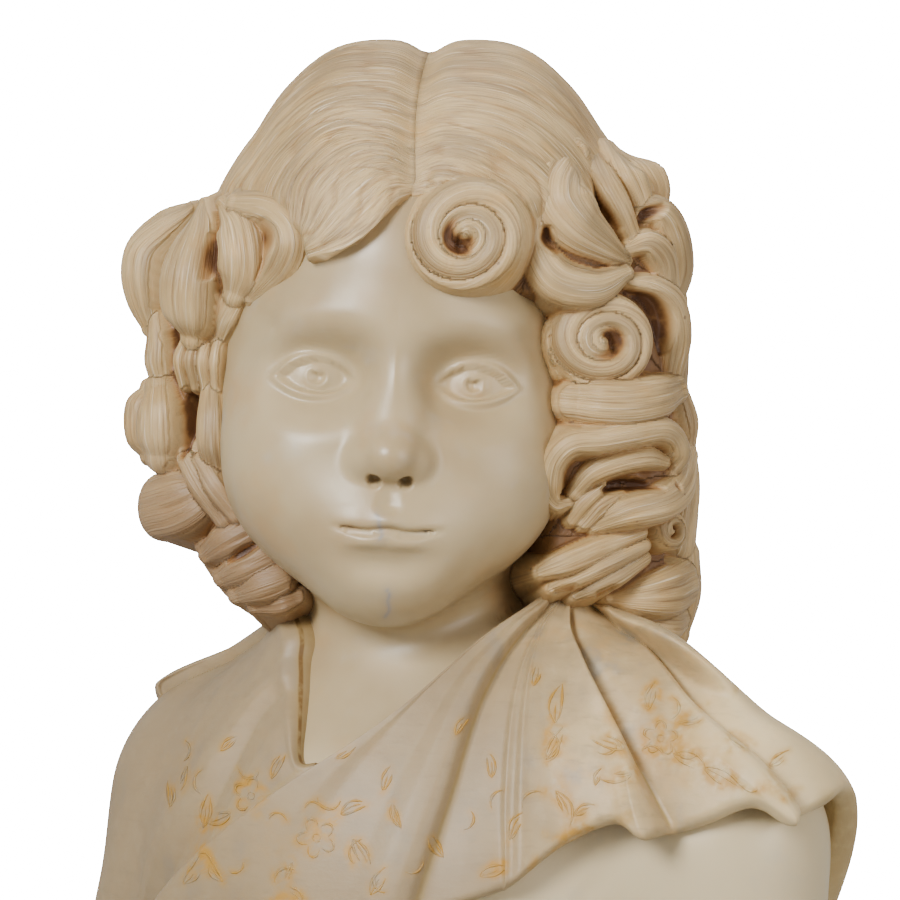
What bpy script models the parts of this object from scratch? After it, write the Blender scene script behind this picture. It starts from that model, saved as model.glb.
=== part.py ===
"""A marble portrait bust of a curly-haired child in a wide pleated collar, carved whole and cut flat below.

The front faces -Y and +Z is up. The origin is the middle of the flat underside. Lengths below are in
millimetres and become metres where each mesh is made. Head, hair, neck, sleeves, chest and collar are
modelled as closed surfaces that run into each other. They are then fused into one body, thinned to facets
and cut flat.
"""

import math

import bmesh
import bpy
import numpy as np

MM = 0.001

CENTRE = (-2.0, 13.2)
FACETS = 9600
FUSE_STEP = 2.2

TORSO_TURN = math.radians(30)
TORSO_AXIS = np.array([-14.0, 12.0])
NEAR_SHOULDER = (84.0, -40.0, 62.0)
FAR_SHOULDER = (-86.0, 56.0, 76.0)
ARM_RADIUS = 35.0
NECK_RADIUS = 39.0
COLLAR_THICKNESS = 8.0

HEAD_CENTRE = np.array([-26.0, -2.0, 217.0])
HEAD_ROLL = math.radians(3)
EYE = (26.5, -45.0, 0.0)
HAIR_AXIS = np.array([-21.0, 18.0])
CROWN_CENTRE = np.array([-15.0, 8.0, 238.0])
CROWN_RADII = np.array([86.0, 93.0, 98.0])
CROWN_THICKNESS = 14.0


def unit(vectors):
    """The vectors, each made one long."""
    return vectors / np.maximum(np.linalg.norm(vectors, axis=-1, keepdims=True), 1e-9)


def spline(points, count):
    """A smooth curve through the points, at even spacing. Further columns, such as widths, go along."""
    p = np.asarray(points, float)
    ends = np.vstack([2 * p[0] - p[1], p, 2 * p[-1] - p[-2]])
    t = np.linspace(0, len(p) - 1, 24 * len(p))
    k = np.minimum(t.astype(int), len(p) - 2)
    s = (t - k)[:, None]
    a, b, c, d = ends[k], ends[k + 1], ends[k + 2], ends[k + 3]
    fine = 0.5 * (2 * b + (c - a) * s + (2 * a - 5 * b + 4 * c - d) * s**2 + (3 * b - a - 3 * c + d) * s**3)
    steps = np.linalg.norm(np.diff(fine[:, :3], axis=0), axis=1)
    length = np.concatenate([[0], np.cumsum(steps)])
    at = np.linspace(0, length[-1], count)
    return np.stack([np.interp(at, length, column) for column in fine.T], axis=1)


def loft(curves, across, along):
    """A grid through a row of curves: each curve is smoothed, and then the places that face each other."""
    rows = np.stack([spline(c, along) for c in curves])
    p = np.concatenate([[2 * rows[0] - rows[1]], rows, [2 * rows[-1] - rows[-2]]])
    t = np.linspace(0, len(rows) - 1, across)
    k = np.minimum(t.astype(int), len(rows) - 2)
    s = (t - k)[:, None, None]
    a, b, c, d = p[k], p[k + 1], p[k + 2], p[k + 3]
    return 0.5 * (2 * b + (c - a) * s + (2 * a - 5 * b + 4 * c - d) * s**2 + (3 * b - a - 3 * c + d) * s**3)


def grid_faces(rows, columns, closed_rows=False, closed_columns=False, start=0):
    """The quads of a grid of points."""
    i = np.arange(rows if closed_rows else rows - 1)
    j = np.arange(columns if closed_columns else columns - 1)
    i, j = np.meshgrid(i, j, indexing="ij")
    i2, j2 = (i + 1) % rows, (j + 1) % columns
    corners = [i * columns + j, i * columns + j2, i2 * columns + j2, i2 * columns + j]
    return np.stack(corners, -1).reshape(-1, 4) + start


class Carving:
    """Closed surfaces gathered for one body."""

    def __init__(self):
        self.points, self.faces, self.count = [], [], 0

    def add(self, points, faces):
        self.points.append(points)
        self.faces += [tuple(int(v) + self.count for v in face) for face in faces]
        self.count += len(points)

    def tube(self, grid):
        """A grid whose rows are closed rings, with its first and last ring filled."""
        rows, columns = grid.shape[:2]
        faces = [tuple(f) for f in grid_faces(rows, columns, closed_columns=True)]
        faces.append(tuple(range(columns))[::-1])
        faces.append(tuple(range((rows - 1) * columns, rows * columns)))
        self.add(grid.reshape(-1, 3), faces)

    def slab(self, outer, inner):
        """Two like grids, with the walls between their edges."""
        rows, columns = outer.shape[:2]
        size = rows * columns
        faces = [tuple(f) for f in grid_faces(rows, columns)]
        faces += [tuple(f[::-1]) for f in grid_faces(rows, columns, start=size)]
        rim = [j for j in range(columns)]
        rim += [i * columns + columns - 1 for i in range(1, rows)]
        rim += [(rows - 1) * columns + j for j in range(columns - 2, -1, -1)]
        rim += [i * columns for i in range(rows - 2, 0, -1)]
        for a, b in zip(rim, rim[1:] + rim[:1]):
            faces.append((b, a, a + size, b + size))
        self.add(np.concatenate([outer.reshape(-1, 3), inner.reshape(-1, 3)]), faces)


def ellipsoid(p, centre, radii):
    """About the distance from each point to an ellipsoid, negative inside."""
    q = (p - np.array(centre, float)) / np.array(radii, float)
    k = np.linalg.norm(q, axis=-1)
    g = np.linalg.norm(q / np.array(radii, float), axis=-1)
    return k * (k - 1) / np.maximum(g, 1e-9)


def cone(p, a, b, ra, rb):
    """About the distance to a round-ended cone from a to b."""
    a, b = np.asarray(a, float), np.asarray(b, float)
    t = np.clip(((p - a) @ (b - a)) / ((b - a) @ (b - a)), 0, 1)
    return np.linalg.norm(p - a - t[..., None] * (b - a), axis=-1) - (ra + (rb - ra) * t)


def blend(a, b, k):
    """The union of two distances, with a fillet about k wide."""
    h = np.maximum(k - np.abs(a - b), 0) / k
    return np.minimum(a, b) - h * h * k / 4


def carve(a, b, k):
    """What is left of a when b is taken out of it, with an edge about k wide."""
    return -blend(-a, b, k)


def across_torso(along_shoulders, forward):
    """A place on the turned torso's plan: so far along its shoulders, so far towards its front."""
    c, s = math.cos(TORSO_TURN), math.sin(TORSO_TURN)
    return TORSO_AXIS + along_shoulders * np.array([c, -s]) + forward * np.array([-s, -c])


def turned(p, centre):
    """Points in the torso's own directions, about a centre."""
    c, s = math.cos(TORSO_TURN), math.sin(TORSO_TURN)
    q = p - centre
    return np.stack([q[..., 0] * c - q[..., 1] * s, q[..., 0] * s + q[..., 1] * c, q[..., 2]], -1)


def torso_distance(p):
    """The chest, shoulders, sleeves and neck as one rounded form."""
    x, y = across_torso(0, 6)
    chest = ellipsoid(turned(p, np.array([x, y, 40.0])), np.zeros(3), np.array([94.0, 74.0, 92.0]))
    neck = cone(p, (-19, 8, 96), (-21, 4, 160), NECK_RADIUS + 1, NECK_RADIUS - 2)
    near, far = np.array(NEAR_SHOULDER), np.array(FAR_SHOULDER)
    body = blend(chest, cone(p, (0, -6, 106), near, 31, ARM_RADIUS), 26)
    body = blend(body, cone(p, (-36, 22, 106), far, 31, ARM_RADIUS), 26)
    body = blend(body, cone(p, near, near + (6, 2, -120), ARM_RADIUS, ARM_RADIUS + 1), 9)
    body = blend(body, cone(p, far, far + (-3, -2, -120), ARM_RADIUS, ARM_RADIUS + 1), 9)
    return blend(body, neck, 16)


def cast(distance, start, direction, reach, steps=46):
    """Where rays from inside a form first leave it, found by halving."""
    t = np.linspace(0, 1, 40) * reach
    inside = distance(start[..., None, :] + t[:, None] * direction[..., None, :]) < 0
    last = inside.shape[-1] - 1 - np.argmax(inside[..., ::-1], axis=-1)
    low = t[np.minimum(last, len(t) - 2)]
    high = low + reach / 39
    for _ in range(steps // 3):
        middle = (low + high) / 2
        within = distance(start + middle[..., None] * direction) < 0
        low, high = np.where(within, middle, low), np.where(within, high, middle)
    return start + low[..., None] * direction


def settle(p, distance, lift):
    """Points moved onto the surface that stands so far off a form."""
    step = 0.5
    for _ in range(5):
        value = distance(p)
        slope = np.stack([distance(p + step * axis) - value for axis in np.eye(3)], -1)
        p = p - unit(slope) * (value - lift)[..., None]
    return p


def on_front(distance, x, z, lift):
    """The point of a form's front, lifted off it, that is seen at x and z."""
    depth = np.linspace(-130, 60, 400)
    line = np.stack([np.full(400, x), depth, np.full(400, z)], -1)
    values = distance(line) - lift
    hit = np.argmax(values < 0) if (values < 0).any() else int(np.argmin(values))
    return line[hit]


def in_head(p):
    """Points in the head's own directions: x across the face, y back and z up, from between the eyes."""
    c, s = math.cos(HEAD_ROLL), math.sin(HEAD_ROLL)
    q = p - HEAD_CENTRE
    return np.stack([q[..., 0] * c - q[..., 2] * s, q[..., 1], q[..., 0] * s + q[..., 2] * c], -1)


def from_head(q):
    """The opposite of in_head."""
    c, s = math.cos(HEAD_ROLL), math.sin(HEAD_ROLL)
    back = [q[..., 0] * c + q[..., 2] * s, q[..., 1], q[..., 2] * c - q[..., 0] * s]
    return np.stack(back, -1) + HEAD_CENTRE


def almond(m):
    """Below nought inside the opening between the lids: a curve above and a flatter one below."""
    e = (m[..., 0] - EYE[0]) / 13.0
    z = m[..., 2] - EYE[2] - e
    top = 6.4 * (1 - np.abs(e + 0.08) ** 2.3)
    low = -4.6 * (1 - np.abs(e - 0.05) ** 2.2)
    return np.maximum(z - top, low - z) * 0.85


def skull(q, m):
    """Skull, jaw, chin, cheeks, brow and the swell of the mouth, with m the points mirrored to one side."""
    d = blend(ellipsoid(q, (0, 8, 36), (61, 83, 68)), ellipsoid(q, (0, -20, -23), (53.5, 51, 54)), 30)
    d = blend(d, ellipsoid(q, (0, -4, 0), (58, 60, 50)), 16)
    d = blend(d, ellipsoid(q, (0, -51, -60), (23, 21, 20.5)), 22)
    d = blend(d, ellipsoid(m, (29, -42, -30), (24, 25, 25)), 22)
    d = blend(d, ellipsoid(m, (17, -57.5, 17), (17, 8, 6)), 18)
    return blend(d, ellipsoid(q, (0, -56, -47), (27, 19.5, 19)), 14)


def head_distance(q):
    """A child's head with plain, even features, in the head's own directions."""
    m = np.concatenate([np.abs(q[..., :1]), q[..., 1:]], -1)
    d = carve(skull(q, m), ellipsoid(m, (25, -74.5, 0.5), (20, 17, 11)), 14)
    lid = carve(ellipsoid(m, EYE, (16.2, 16.2, 13.8)), almond(m), 1.0)
    d = blend(d, blend(lid, ellipsoid(m, EYE, (14.8, 14.6, 14.2)), 0.6), 4)
    d = blend(d, cone(q, (0, -61, 10), (0, -73.5, -20), 6.5, 7.5), 10)
    d = blend(d, ellipsoid(q, (0, -77, -24.5), (8.8, 9, 8)), 5)
    d = blend(d, ellipsoid(m, (8.8, -70, -26.5), (5.6, 8, 6)), 5)
    d = carve(d, ellipsoid(m, (5.0, -75.0, -32.5), (2.6, 4.6, 2.8)), 1.4)
    d = carve(d, cone(q, (0, -79.2, -36.5), (0, -79.2, -41), 1.6, 2.2), 4)
    upper = ellipsoid(q, (0, -71.6, -46.0), (5.5, 6.8, 4.4))
    d = blend(d, blend(upper, ellipsoid(m, (7.5, -68.4, -46.4), (12, 8.0, 4.4)), 3), 3)
    d = blend(d, ellipsoid(m, (4.6, -68.4, -53.4), (11.5, 9.0, 5.2)), 3)
    line = -49.6 + 0.8 * np.cos(q[..., 0] / 3.4) * np.exp(-((q[..., 0] / 9) ** 2)) + 0.004 * q[..., 0] ** 2
    slit = np.hypot(q[..., 2] - line, 0.35 * (q[..., 1] + 78.5 - 0.028 * q[..., 0] ** 2)) - 0.8
    d = carve(d, np.maximum(slit, m[..., 0] - 19), 2.2)
    return carve(d, ellipsoid(q, (0, -78.3, -61), (16, 5.5, 3.6)), 8)


def add_head(body):
    """The head as one closed surface, cast outwards from its middle, finest at the face."""
    turn = np.linspace(-math.pi, math.pi, 130, endpoint=False)
    turn = turn - 0.5 * np.sin(turn)
    rows = [np.linspace(-86, -60, 5), np.linspace(-56, 34, 76), np.linspace(38, 86, 9)]
    tilt = np.radians(np.concatenate(rows))
    tilt, turn = np.meshgrid(tilt, turn, indexing="ij")
    way = np.stack([np.cos(tilt) * np.sin(turn), -np.cos(tilt) * np.cos(turn), np.sin(tilt)], -1)
    start = np.broadcast_to(np.array([0.0, -10.0, -8.0]), way.shape)
    body.tube(from_head(cast(head_distance, start, way, 130)))


def add_torso(body):
    """The chest, sleeves and neck, cast outwards from an upright axis that leans with the neck."""
    turn = np.linspace(0, 2 * math.pi, 72, endpoint=False)
    height = np.concatenate([np.linspace(-14, 96, 20), np.linspace(101, 158, 14)])
    lean = np.interp(height, [0, 90, 150], [0, 0.7, 1])
    z, turn = np.meshgrid(height, turn, indexing="ij")
    x = np.interp(z, height, TORSO_AXIS[0] - 6 * lean)
    y = np.interp(z, height, TORSO_AXIS[1] - 8 * lean)
    start = np.stack([x, y, z], -1)
    way = np.stack([np.cos(turn), np.sin(turn), np.zeros_like(turn)], -1)
    body.tube(cast(torso_distance, start, way, 190))


CORE_RINGS = [
    # height, half width, half depth, centre y
    (122, 40, 34, 46),
    (130, 58, 46, 46),
    (146, 72, 56, 40),
    (172, 80, 64, 32),
    (205, 83, 71, 28),
    (240, 81, 73, 24),
    (268, 72, 68, 20),
    (292, 56, 54, 16),
    (304, 36, 36, 14),
]


def add_core(body):
    """The hair's mass behind the face, which the locks are carved on."""
    rings = spline([(HAIR_AXIS[0], cy, z, a, b) for z, a, b, cy in CORE_RINGS], 26)
    turn = np.linspace(0, 2 * math.pi, 40, endpoint=False)
    x = rings[:, :1] + rings[:, 3:4] * np.sin(turn)
    y = rings[:, 1:2] - rings[:, 4:5] * np.cos(turn)
    body.tube(np.stack([x, y, np.broadcast_to(rings[:, 2:3], x.shape)], -1)[:, ::-1])


CROWN_LEFT = [
    # (degrees up from the front, degrees out from the parting) along each strand
    [(23, 0), (18, -9), (14, -17), (14, -27)],
    [(27, 0), (24, -12), (19, -21), (18, -29)],
    [(32, 0), (33, -13), (29, -25), (23, -31)],
    [(39, 0), (41, -18), (35, -33), (30, -41)],
    [(50, 0), (49, -20), (45, -37), (39, -50)],
    [(62, 0), (65, -23), (60, -44), (58, -62)],
    [(78, 0), (84, -24), (86, -46), (86, -66)],
    [(96, 0), (102, -26), (108, -48), (114, -66)],
    [(118, 0), (126, -26), (134, -48), (140, -63)],
    [(142, 0), (150, -24), (158, -43), (164, -57)],
    [(164, 0), (170, -18), (175, -34), (178, -48)],
    [(182, 0), (184, -12), (186, -25), (188, -38)],
]
CROWN_RIGHT = [
    [(26, 0), (26, 3), (27, 6), (28, 9)],
    [(32, 0), (33, 5), (32, 13), (27, 28)],
    [(41, 0), (41, 9), (39, 20), (31, 36)],
    [(50, 0), (51, 13), (49, 28), (40, 46)],
    [(62, 0), (63, 17), (61, 34), (52, 54)],
    [(78, 0), (80, 20), (79, 40), (74, 58)],
    [(96, 0), (100, 20), (103, 40), (106, 56)],
    [(118, 0), (124, 24), (131, 44), (137, 58)],
    [(142, 0), (150, 24), (158, 43), (164, 57)],
    [(164, 0), (170, 18), (175, 34), (178, 48)],
    [(182, 0), (184, 12), (186, 25), (188, 38)],
]


def crown_grid(guides, across, along, lift=0.0):
    """The combed hair of one side, from the groove at the parting to where the locks begin."""
    angles = loft([[(u, v, 0.0) for u, v in strand] for strand in guides], across, along)
    u, v = np.radians(angles[..., 0]), np.radians(angles[..., 1])
    way = np.stack([np.sin(v), -np.cos(v) * np.cos(u), np.cos(v) * np.sin(u)], -1)
    groove = 3.6 * np.exp(-((np.degrees(v) / 3.2) ** 2))
    groove -= 3.0 * np.sin(np.clip(2.6 * np.abs(v), 0, math.pi)) * np.sin(u)
    return CROWN_CENTRE + way * (CROWN_RADII + (lift - groove)[..., None])


def add_crown(body):
    """Both halves of the combed crown, each a thick shell on the head."""
    for guides, side in ((CROWN_LEFT, -1), (CROWN_RIGHT, 1)):
        outer = crown_grid(guides, 60, 14)
        inner = CROWN_CENTRE + (outer - CROWN_CENTRE) * (1 - CROWN_THICKNESS / 90)
        inner[:, 0, 0] -= 4 * side
        outer[:, 0, 0] -= 1 * side
        if side > 0:
            outer, inner = outer[::-1], inner[::-1]
        body.slab(outer, inner)


def lock_grid(points, around, along, strands=0, groove=0.0, twist=0.0):
    """A lock of hair: rounded at both ends, wide across and thinner off the head, with grooves along it."""
    path = spline(points, along)
    place, wide, deep = path[:, :3], path[:, 3:4], path[:, 4:5]
    ahead = unit(np.gradient(place, axis=0))
    out = place - np.append(HAIR_AXIS, 0.0)
    out[:, 2] = 0
    out = unit(out - np.sum(out * ahead, 1, keepdims=True) * ahead)
    aside = np.cross(ahead, out)
    s = np.linspace(0, 1, along)[:, None]
    end = np.maximum(1 - np.abs(2 * s - 1) ** 5, 0.0009) ** 0.5
    turn = np.linspace(0, 2 * math.pi, around, endpoint=False)
    ridge = 1 - groove * (1 - np.abs(np.cos(strands * turn / 2 + twist * s)))
    x, y = wide * end * ridge * np.cos(turn), deep * end * ridge * np.sin(turn)
    return place[:, None] + x[..., None] * aside[:, None] + y[..., None] * out[:, None]


LEFT_LOCKS = [
    # x, y, z, half width and half depth along each lock
    [(-93, 0, 276.7, 7, 8), (-104.1, -6, 270.9, 11, 11), (-109.8, -8, 259.1, 11.5, 12),
     (-109.6, -6, 247.8, 10, 11), (-107.5, -6, 236.5, 6, 7)],
    [(-91, -14, 279.4, 4, 6), (-93.8, -26, 268.7, 8, 9), (-95.3, -31, 256.3, 10.5, 11),
     (-96.7, -30, 244.8, 10.5, 11), (-95.6, -24, 232.7, 7, 8)],
    [(-84, -26, 278.9, 5, 6), (-79.4, -38, 269.5, 8.5, 8), (-78.2, -42, 257.9, 9, 9),
     (-78.7, -38, 245.9, 7, 7)],
    [(-77.2, -34, 278.5, 5, 6), (-64.9, -48, 271.8, 8, 7), (-61.1, -52, 260.9, 8, 8),
     (-67.6, -46, 249.7, 7, 7)],
    [(-81.8, -28, 248.2, 8, 7), (-82.5, -28, 239.4, 8, 7), (-84, -24, 231.3, 6, 6)],
    [(-104, -8, 239.2, 6, 6), (-107.2, -12, 228.1, 8, 9), (-106.3, -10, 215.8, 6.5, 7)],
    [(-95.9, -18, 233.5, 4, 5), (-95.7, -22, 224.5, 4.4, 6), (-96.6, -18, 215, 3.6, 5)],
    [(-91, -22, 232.7, 3.4, 5), (-90.4, -26, 224.5, 3.6, 6), (-91.6, -22, 215.7, 3.2, 5)],
    [(-86.3, -26, 232.6, 3.4, 5), (-85.5, -30, 224.4, 3.6, 6), (-86.7, -26, 215.6, 3.2, 5)],
    [(-112.9, 4, 217.4, 6, 7), (-117.4, 4, 204.9, 7, 8), (-113.6, 4, 191.1, 6, 7)],
    [(-106.6, -10, 217.9, 8, 8), (-108.1, -14, 204.1, 12, 12), (-106.6, -10, 189.1, 9, 8)],
    [(-88.9, -22, 216.4, 6.5, 7), (-88.7, -27, 203, 7.5, 9), (-88.1, -24, 188.4, 7, 7)],
    [(-88.7, -12, 185, 8, 9), (-98.9, -14, 179.5, 13, 12), (-106.6, -10, 173.3, 13, 11),
     (-111.4, -4, 170.5, 8, 8)],
    [(-98.9, -20, 192.5, 4, 6), (-91.2, -24, 182, 6.5, 7), (-82, -25, 170.7, 6, 6)],
    [(-90.5, -24, 190.5, 5, 6), (-83.9, -28, 181, 5.5, 6), (-78.1, -28, 170.8, 5, 6)],
]
LEFT_RINGLET = [
    (-93.5, -12, 178.8, 7, 8), (-86.4, -18, 166.5, 10, 10), (-76.7, -21, 153.6, 11.5, 11),
    (-67.2, -19, 143.3, 9.5, 9), (-61.8, -17, 138.8, 4, 4),
]
RIGHT_LOCKS = [
    [(31.4, -38, 297.9, 3, 6), (27.1, -50, 285.8, 8.5, 9), (31, -56, 272.1, 9.5, 10),
     (39.1, -52, 263.9, 8, 9), (50.8, -42, 259.6, 4, 6)],
    [(37.6, -32, 300.3, 4, 5), (41.7, -42, 288.9, 6, 7), (46.7, -45, 277, 6, 7), (52.2, -40, 264.7, 4, 6)],
    [(42.6, -24, 302.1, 5, 8), (53.9, -30, 293.6, 9, 10), (60.1, -28, 285.6, 9, 10),
     (63.8, -22, 275.7, 6, 8)],
    [(56.7, -28, 278.4, 5, 6), (64.4, -24, 272.2, 8, 9), (67.6, -20, 261.1, 9, 11),
     (65.6, -20, 249.1, 8, 9), (60.3, -24, 241.5, 4, 6)],
    [(52.3, -38, 267.2, 4, 6), (58.1, -36, 262.2, 7, 8), (60.6, -34, 253.8, 7, 8),
     (56.5, -34, 244.6, 4, 6)],
    [(19.9, -56, 277.1, 3, 5), (21.5, -60, 264.6, 6, 7), (28.3, -58, 252, 8, 8),
     (39.8, -52, 249.2, 7, 8), (50.1, -45, 254.4, 3, 5)],
    [(56.6, -32, 246.1, 5, 7), (65.6, -26, 240.1, 7, 9), (70, -20, 228.7, 6, 9), (67.3, -20, 215.7, 5, 8)],
    [(64.7, 2, 268.8, 8, 12), (69.7, 6, 249.9, 9, 13), (69.8, 8, 229.2, 9, 13), (70.5, 8, 206.7, 8, 10)],
    [(72.8, -4, 213.1, 3, 5), (75.5, -4, 204.9, 4, 6), (77, -2, 196.6, 3, 5)],
    [(26.5, -46, 209.7, 6, 6), (37.4, -52, 210.6, 9, 9), (51, -48, 211.3, 9.5, 10),
     (65, -34, 212.2, 9, 10), (74.4, -12, 211.7, 6, 8)],
    [(31.9, -44, 177, 3, 4), (26.7, -50, 185.2, 4, 5), (27.7, -54, 194.6, 4.5, 6),
     (36.3, -55, 197.6, 4.5, 6), (47.9, -50, 195.9, 4.5, 6),
     (59.6, -42, 201.3, 5, 6), (67.7, -33, 197.9, 5, 6), (69.3, -29, 189.8, 4.5, 6),
         (63.5, -29, 184, 3, 4)],
    [(33.3, -42, 180.4, 3, 4), (39.3, -46, 187.2, 4, 5), (49.4, -44, 189.2, 5, 6),
     (61.2, -35, 192.2, 4, 5)],
    [(33.4, -40, 170.9, 6, 6), (39.4, -42, 178.4, 6, 6), (46.9, -38, 183.7, 5, 5),
     (57.3, -31, 185.7, 4, 5)],
    [(41.6, -36, 170.2, 5, 6), (53.1, -36, 174.9, 8, 8), (64.2, -28, 177.6, 9, 9),
     (73.7, -14, 184.3, 8, 9), (77.8, 0, 193.2, 5, 7)],
    [(53.3, -30, 166.4, 5, 6), (40.2, -37, 160.8, 6, 7), (28.3, -40, 155.4, 6.5, 7),
     (16.5, -37, 151.3, 4.5, 5)],
    [(57.4, -27, 159.9, 5, 6), (46.4, -33, 154.9, 6.5, 7), (34.5, -34, 147.2, 5.5, 6)],
    [(75, 0, 201.5, 7, 9), (75.8, 2, 177.3, 8, 11), (74.4, 2, 156.6, 8, 10)],
    [(75.2, 4, 157.9, 9, 10), (74.9, 6, 140.9, 9, 10), (71.9, 8, 127, 5, 7)],
]
RIGHT_RINGLET = [
    (63.9, -18, 162.1, 8, 9), (66.1, -14, 150.7, 12, 12),
    (65.5, -12, 139, 11.5, 12), (61.6, -8, 129.3, 5, 6),
]
SIDE_MASSES = [((46, 4, 226), (31, 45, 80)), ((-90, 8, 214), (23, 33, 74))]
CURLS = [
    # centre, way it faces, radius, depth, how much deeper the middle is
    ((-1.5, -66, 266.7), (0.0, -1.0, 0.12), 20.8, 20.0, 9.0),
    ((43.4, -44, 230.9), (0.3, -1.0, 0.05), 18.4, 18.0, 8.0),
    ((65.4, -24, 167.3), (0.5, -1.0, 0.0), 6.8, 9.0, 3.0),
]


def helix_grid(points, around, along, turns, depth=0.16):
    """A hanging ringlet: a lock with one groove that winds round it like a screw's."""
    grid = lock_grid(points, around, along)
    middle = spline(points, along)[:, None, :3]
    turn = np.linspace(0, 2 * math.pi, around, endpoint=False)
    s = np.linspace(0, 1, along)[:, None]
    wave = np.abs(np.sin((turn + 2 * math.pi * turns * s) / 2))
    return middle + (grid - middle) * (1 - depth * (1 - wave) ** 1.5 * 1.6)[..., None]


def curl_grid(centre, facing, radius, height, dip, rings, around, swirl=2.4, groove=1.1):
    """A curl seen end on: a low dome with a drilled middle and grooves that swirl into it."""
    facing = unit(np.array(facing))
    across = unit(np.cross((0, 0, 1.0), facing))
    up = np.cross(facing, across)
    s = np.linspace(0.04, 1, rings)[:, None]
    turn = np.linspace(0, 2 * math.pi, around, endpoint=False)[None]
    rise = height * 0.5 * (1 - s**6) ** 0.5 + 2.2 * np.sin(math.pi * s**0.8) - dip * np.exp(-((s / 0.2) ** 2))
    wave = np.abs(np.sin(1.5 * (turn + 2 * math.pi * swirl * s**0.7)))
    rise = rise - groove * (1 - wave) ** 2 * np.sin(math.pi * s)
    flat = radius * s
    front = flat[..., None] * (np.cos(turn)[..., None] * across + np.sin(turn)[..., None] * up)
    front = front + rise[..., None] * facing
    back = front[-1:] * 0.96 - 0.75 * height * facing
    return np.array(centre) + np.concatenate([front, front[-1:] - 0.35 * height * facing, back])


def add_hair(body):
    """Locks, ringlets and curls at the sides, and plainer ringlets behind."""
    for points in LEFT_LOCKS + RIGHT_LOCKS:
        body.tube(lock_grid(points, 14, 16))
    for points, turns in ((LEFT_RINGLET, 2.4), (RIGHT_RINGLET, 2.0)):
        body.tube(helix_grid(points, 20, 32, turns))
    for curl in CURLS:
        body.tube(curl_grid(*curl, 12, 30)[:, ::-1])
    for turn in np.radians(np.arange(66, 300, 18)):
        body.tube(helix_grid(back_ringlet(turn), 20, 44, 4.0))
    for centre, radii in SIDE_MASSES:
        body.tube(oval_grid(centre, radii, 14, 24))


def oval_grid(centre, radii, rings, around):
    """An egg-shaped mass."""
    tilt, turn = np.meshgrid(
        np.linspace(-1.5, 1.5, rings), np.linspace(0, 2 * math.pi, around, endpoint=False), indexing="ij"
    )
    way = np.stack([np.cos(tilt) * np.cos(turn), np.cos(tilt) * np.sin(turn), np.sin(tilt)], -1)
    return np.array(centre) + way * np.array(radii)


def back_ringlet(turn):
    """A ringlet that hangs behind the head, at so far round from the front."""
    way = np.array([math.sin(turn), -math.cos(turn)])
    rows = []
    side = abs(math.sin(turn))
    for z, out, wide in ((266, 78, 5), (236, 84, 11), (200, 86, 13.5), (163, 83, 13.5), (138, 75, 10),
        (127, 70, 4)):
        z += 26 * side * (z - 127) / 135
        x, y = np.array([-21.0, 24.0]) + way * out * np.array([1.0, 0.9])
        rows.append((x, y, z, wide, wide))
    return rows


def front_guide(lift, *places):
    """A collar fold seen from the front: each place's x and z, settled this far off the torso."""
    return [np.append(on_front(torso_distance, x, z, lift), lift) for x, _, z in places]


def back_guide(lift, *places):
    """A collar fold round the back, given by its places in space."""
    settled = settle(np.array(places, float), torso_distance, lift)
    return [np.append(p, lift) for p in settled]


def collar_guides():
    """The collar's folds from the lapel beneath, round the back, to the lapel that crosses over."""
    return [
        front_guide(3, (-56.1, -50, 89.2), (-51.4, -50, 77.2), (-46.4, -50, 57), (-41.3, -50, 31.9)),
        front_guide(4, (-57.1, -50, 94.6), (-63.1, -50, 77.2), (-73.2, -50, 53.7), (-79.9, -50, 26.8)),
        front_guide(5, (-57.7, -40, 113.6), (-71.2, -40, 102.8), (-93.3, -30, 69), (-119, -20, 19.9)),
        front_guide(6, (-57.6, -20, 129.7), (-77.8, -10, 118.4), (-106.7, 10, 83.5), (-133.4, 30, 22.7)),
        back_guide(9, (-56, 14, 150), (-78, 34, 140), (-104, 58, 112), (-128, 62, 30)),
        back_guide(9, (-46, 34, 152), (-72, 60, 138), (-104, 84, 112), (-118, 92, 40)),
        back_guide(8, (-30, 46, 152), (-44, 72, 134), (-56, 98, 100), (-62, 104, 34)),
        back_guide(8, (-12, 48, 152), (-2, 74, 134), (10, 98, 100), (14, 100, 32)),
        back_guide(8, (6, 42, 152), (32, 52, 136), (62, 66, 104), (76, 66, 34)),
        back_guide(9, (18, 24, 150), (52, 12, 134), (98, 2, 100), (124, -8, 36)),
        front_guide(9, (30.4, -20, 142), (56.7, -30, 136.2), (91.7, -40, 113.6), (127.4, -45, 81.5)),
        front_guide(9, (29, -20, 141.3), (52.6, -30, 128.4), (78.3, -45, 102.4), (103.6, -50, 74.5)),
        front_guide(9, (28, -20, 141), (43.6, -35, 120.8), (62.6, -50, 96.6), (83.6, -60, 76.8)),
        front_guide(9, (27, -20, 140.6), (36.1, -40, 121), (49.6, -60, 97.2), (62.5, -70, 69.2)),
        front_guide(9, (26.3, -20, 140.6), (27.6, -40, 120.3), (30.6, -60, 94.5), (34.6, -70, 69.2)),
        front_guide(9, (25.3, -20, 141), (15.8, -40, 113.6), (12.2, -60, 81.2), (6.1, -70, 50.6)),
        front_guide(9, (24.6, -20, 141.3), (4.3, -40, 113.6), (-9.5, -60, 77.8), (-22.7, -70, 38)),
        front_guide(9, (23.9, -20, 142), (-11.2, -45, 111.8), (-41.1, -60, 71.2), (-70.5, -60, 23.1)),
        front_guide(9, (23.2, -20, 142.4), (-24.6, -50, 108.7), (-70.5, -60, 77.2), (-119.7, -20, 14.4)),
    ]


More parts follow.
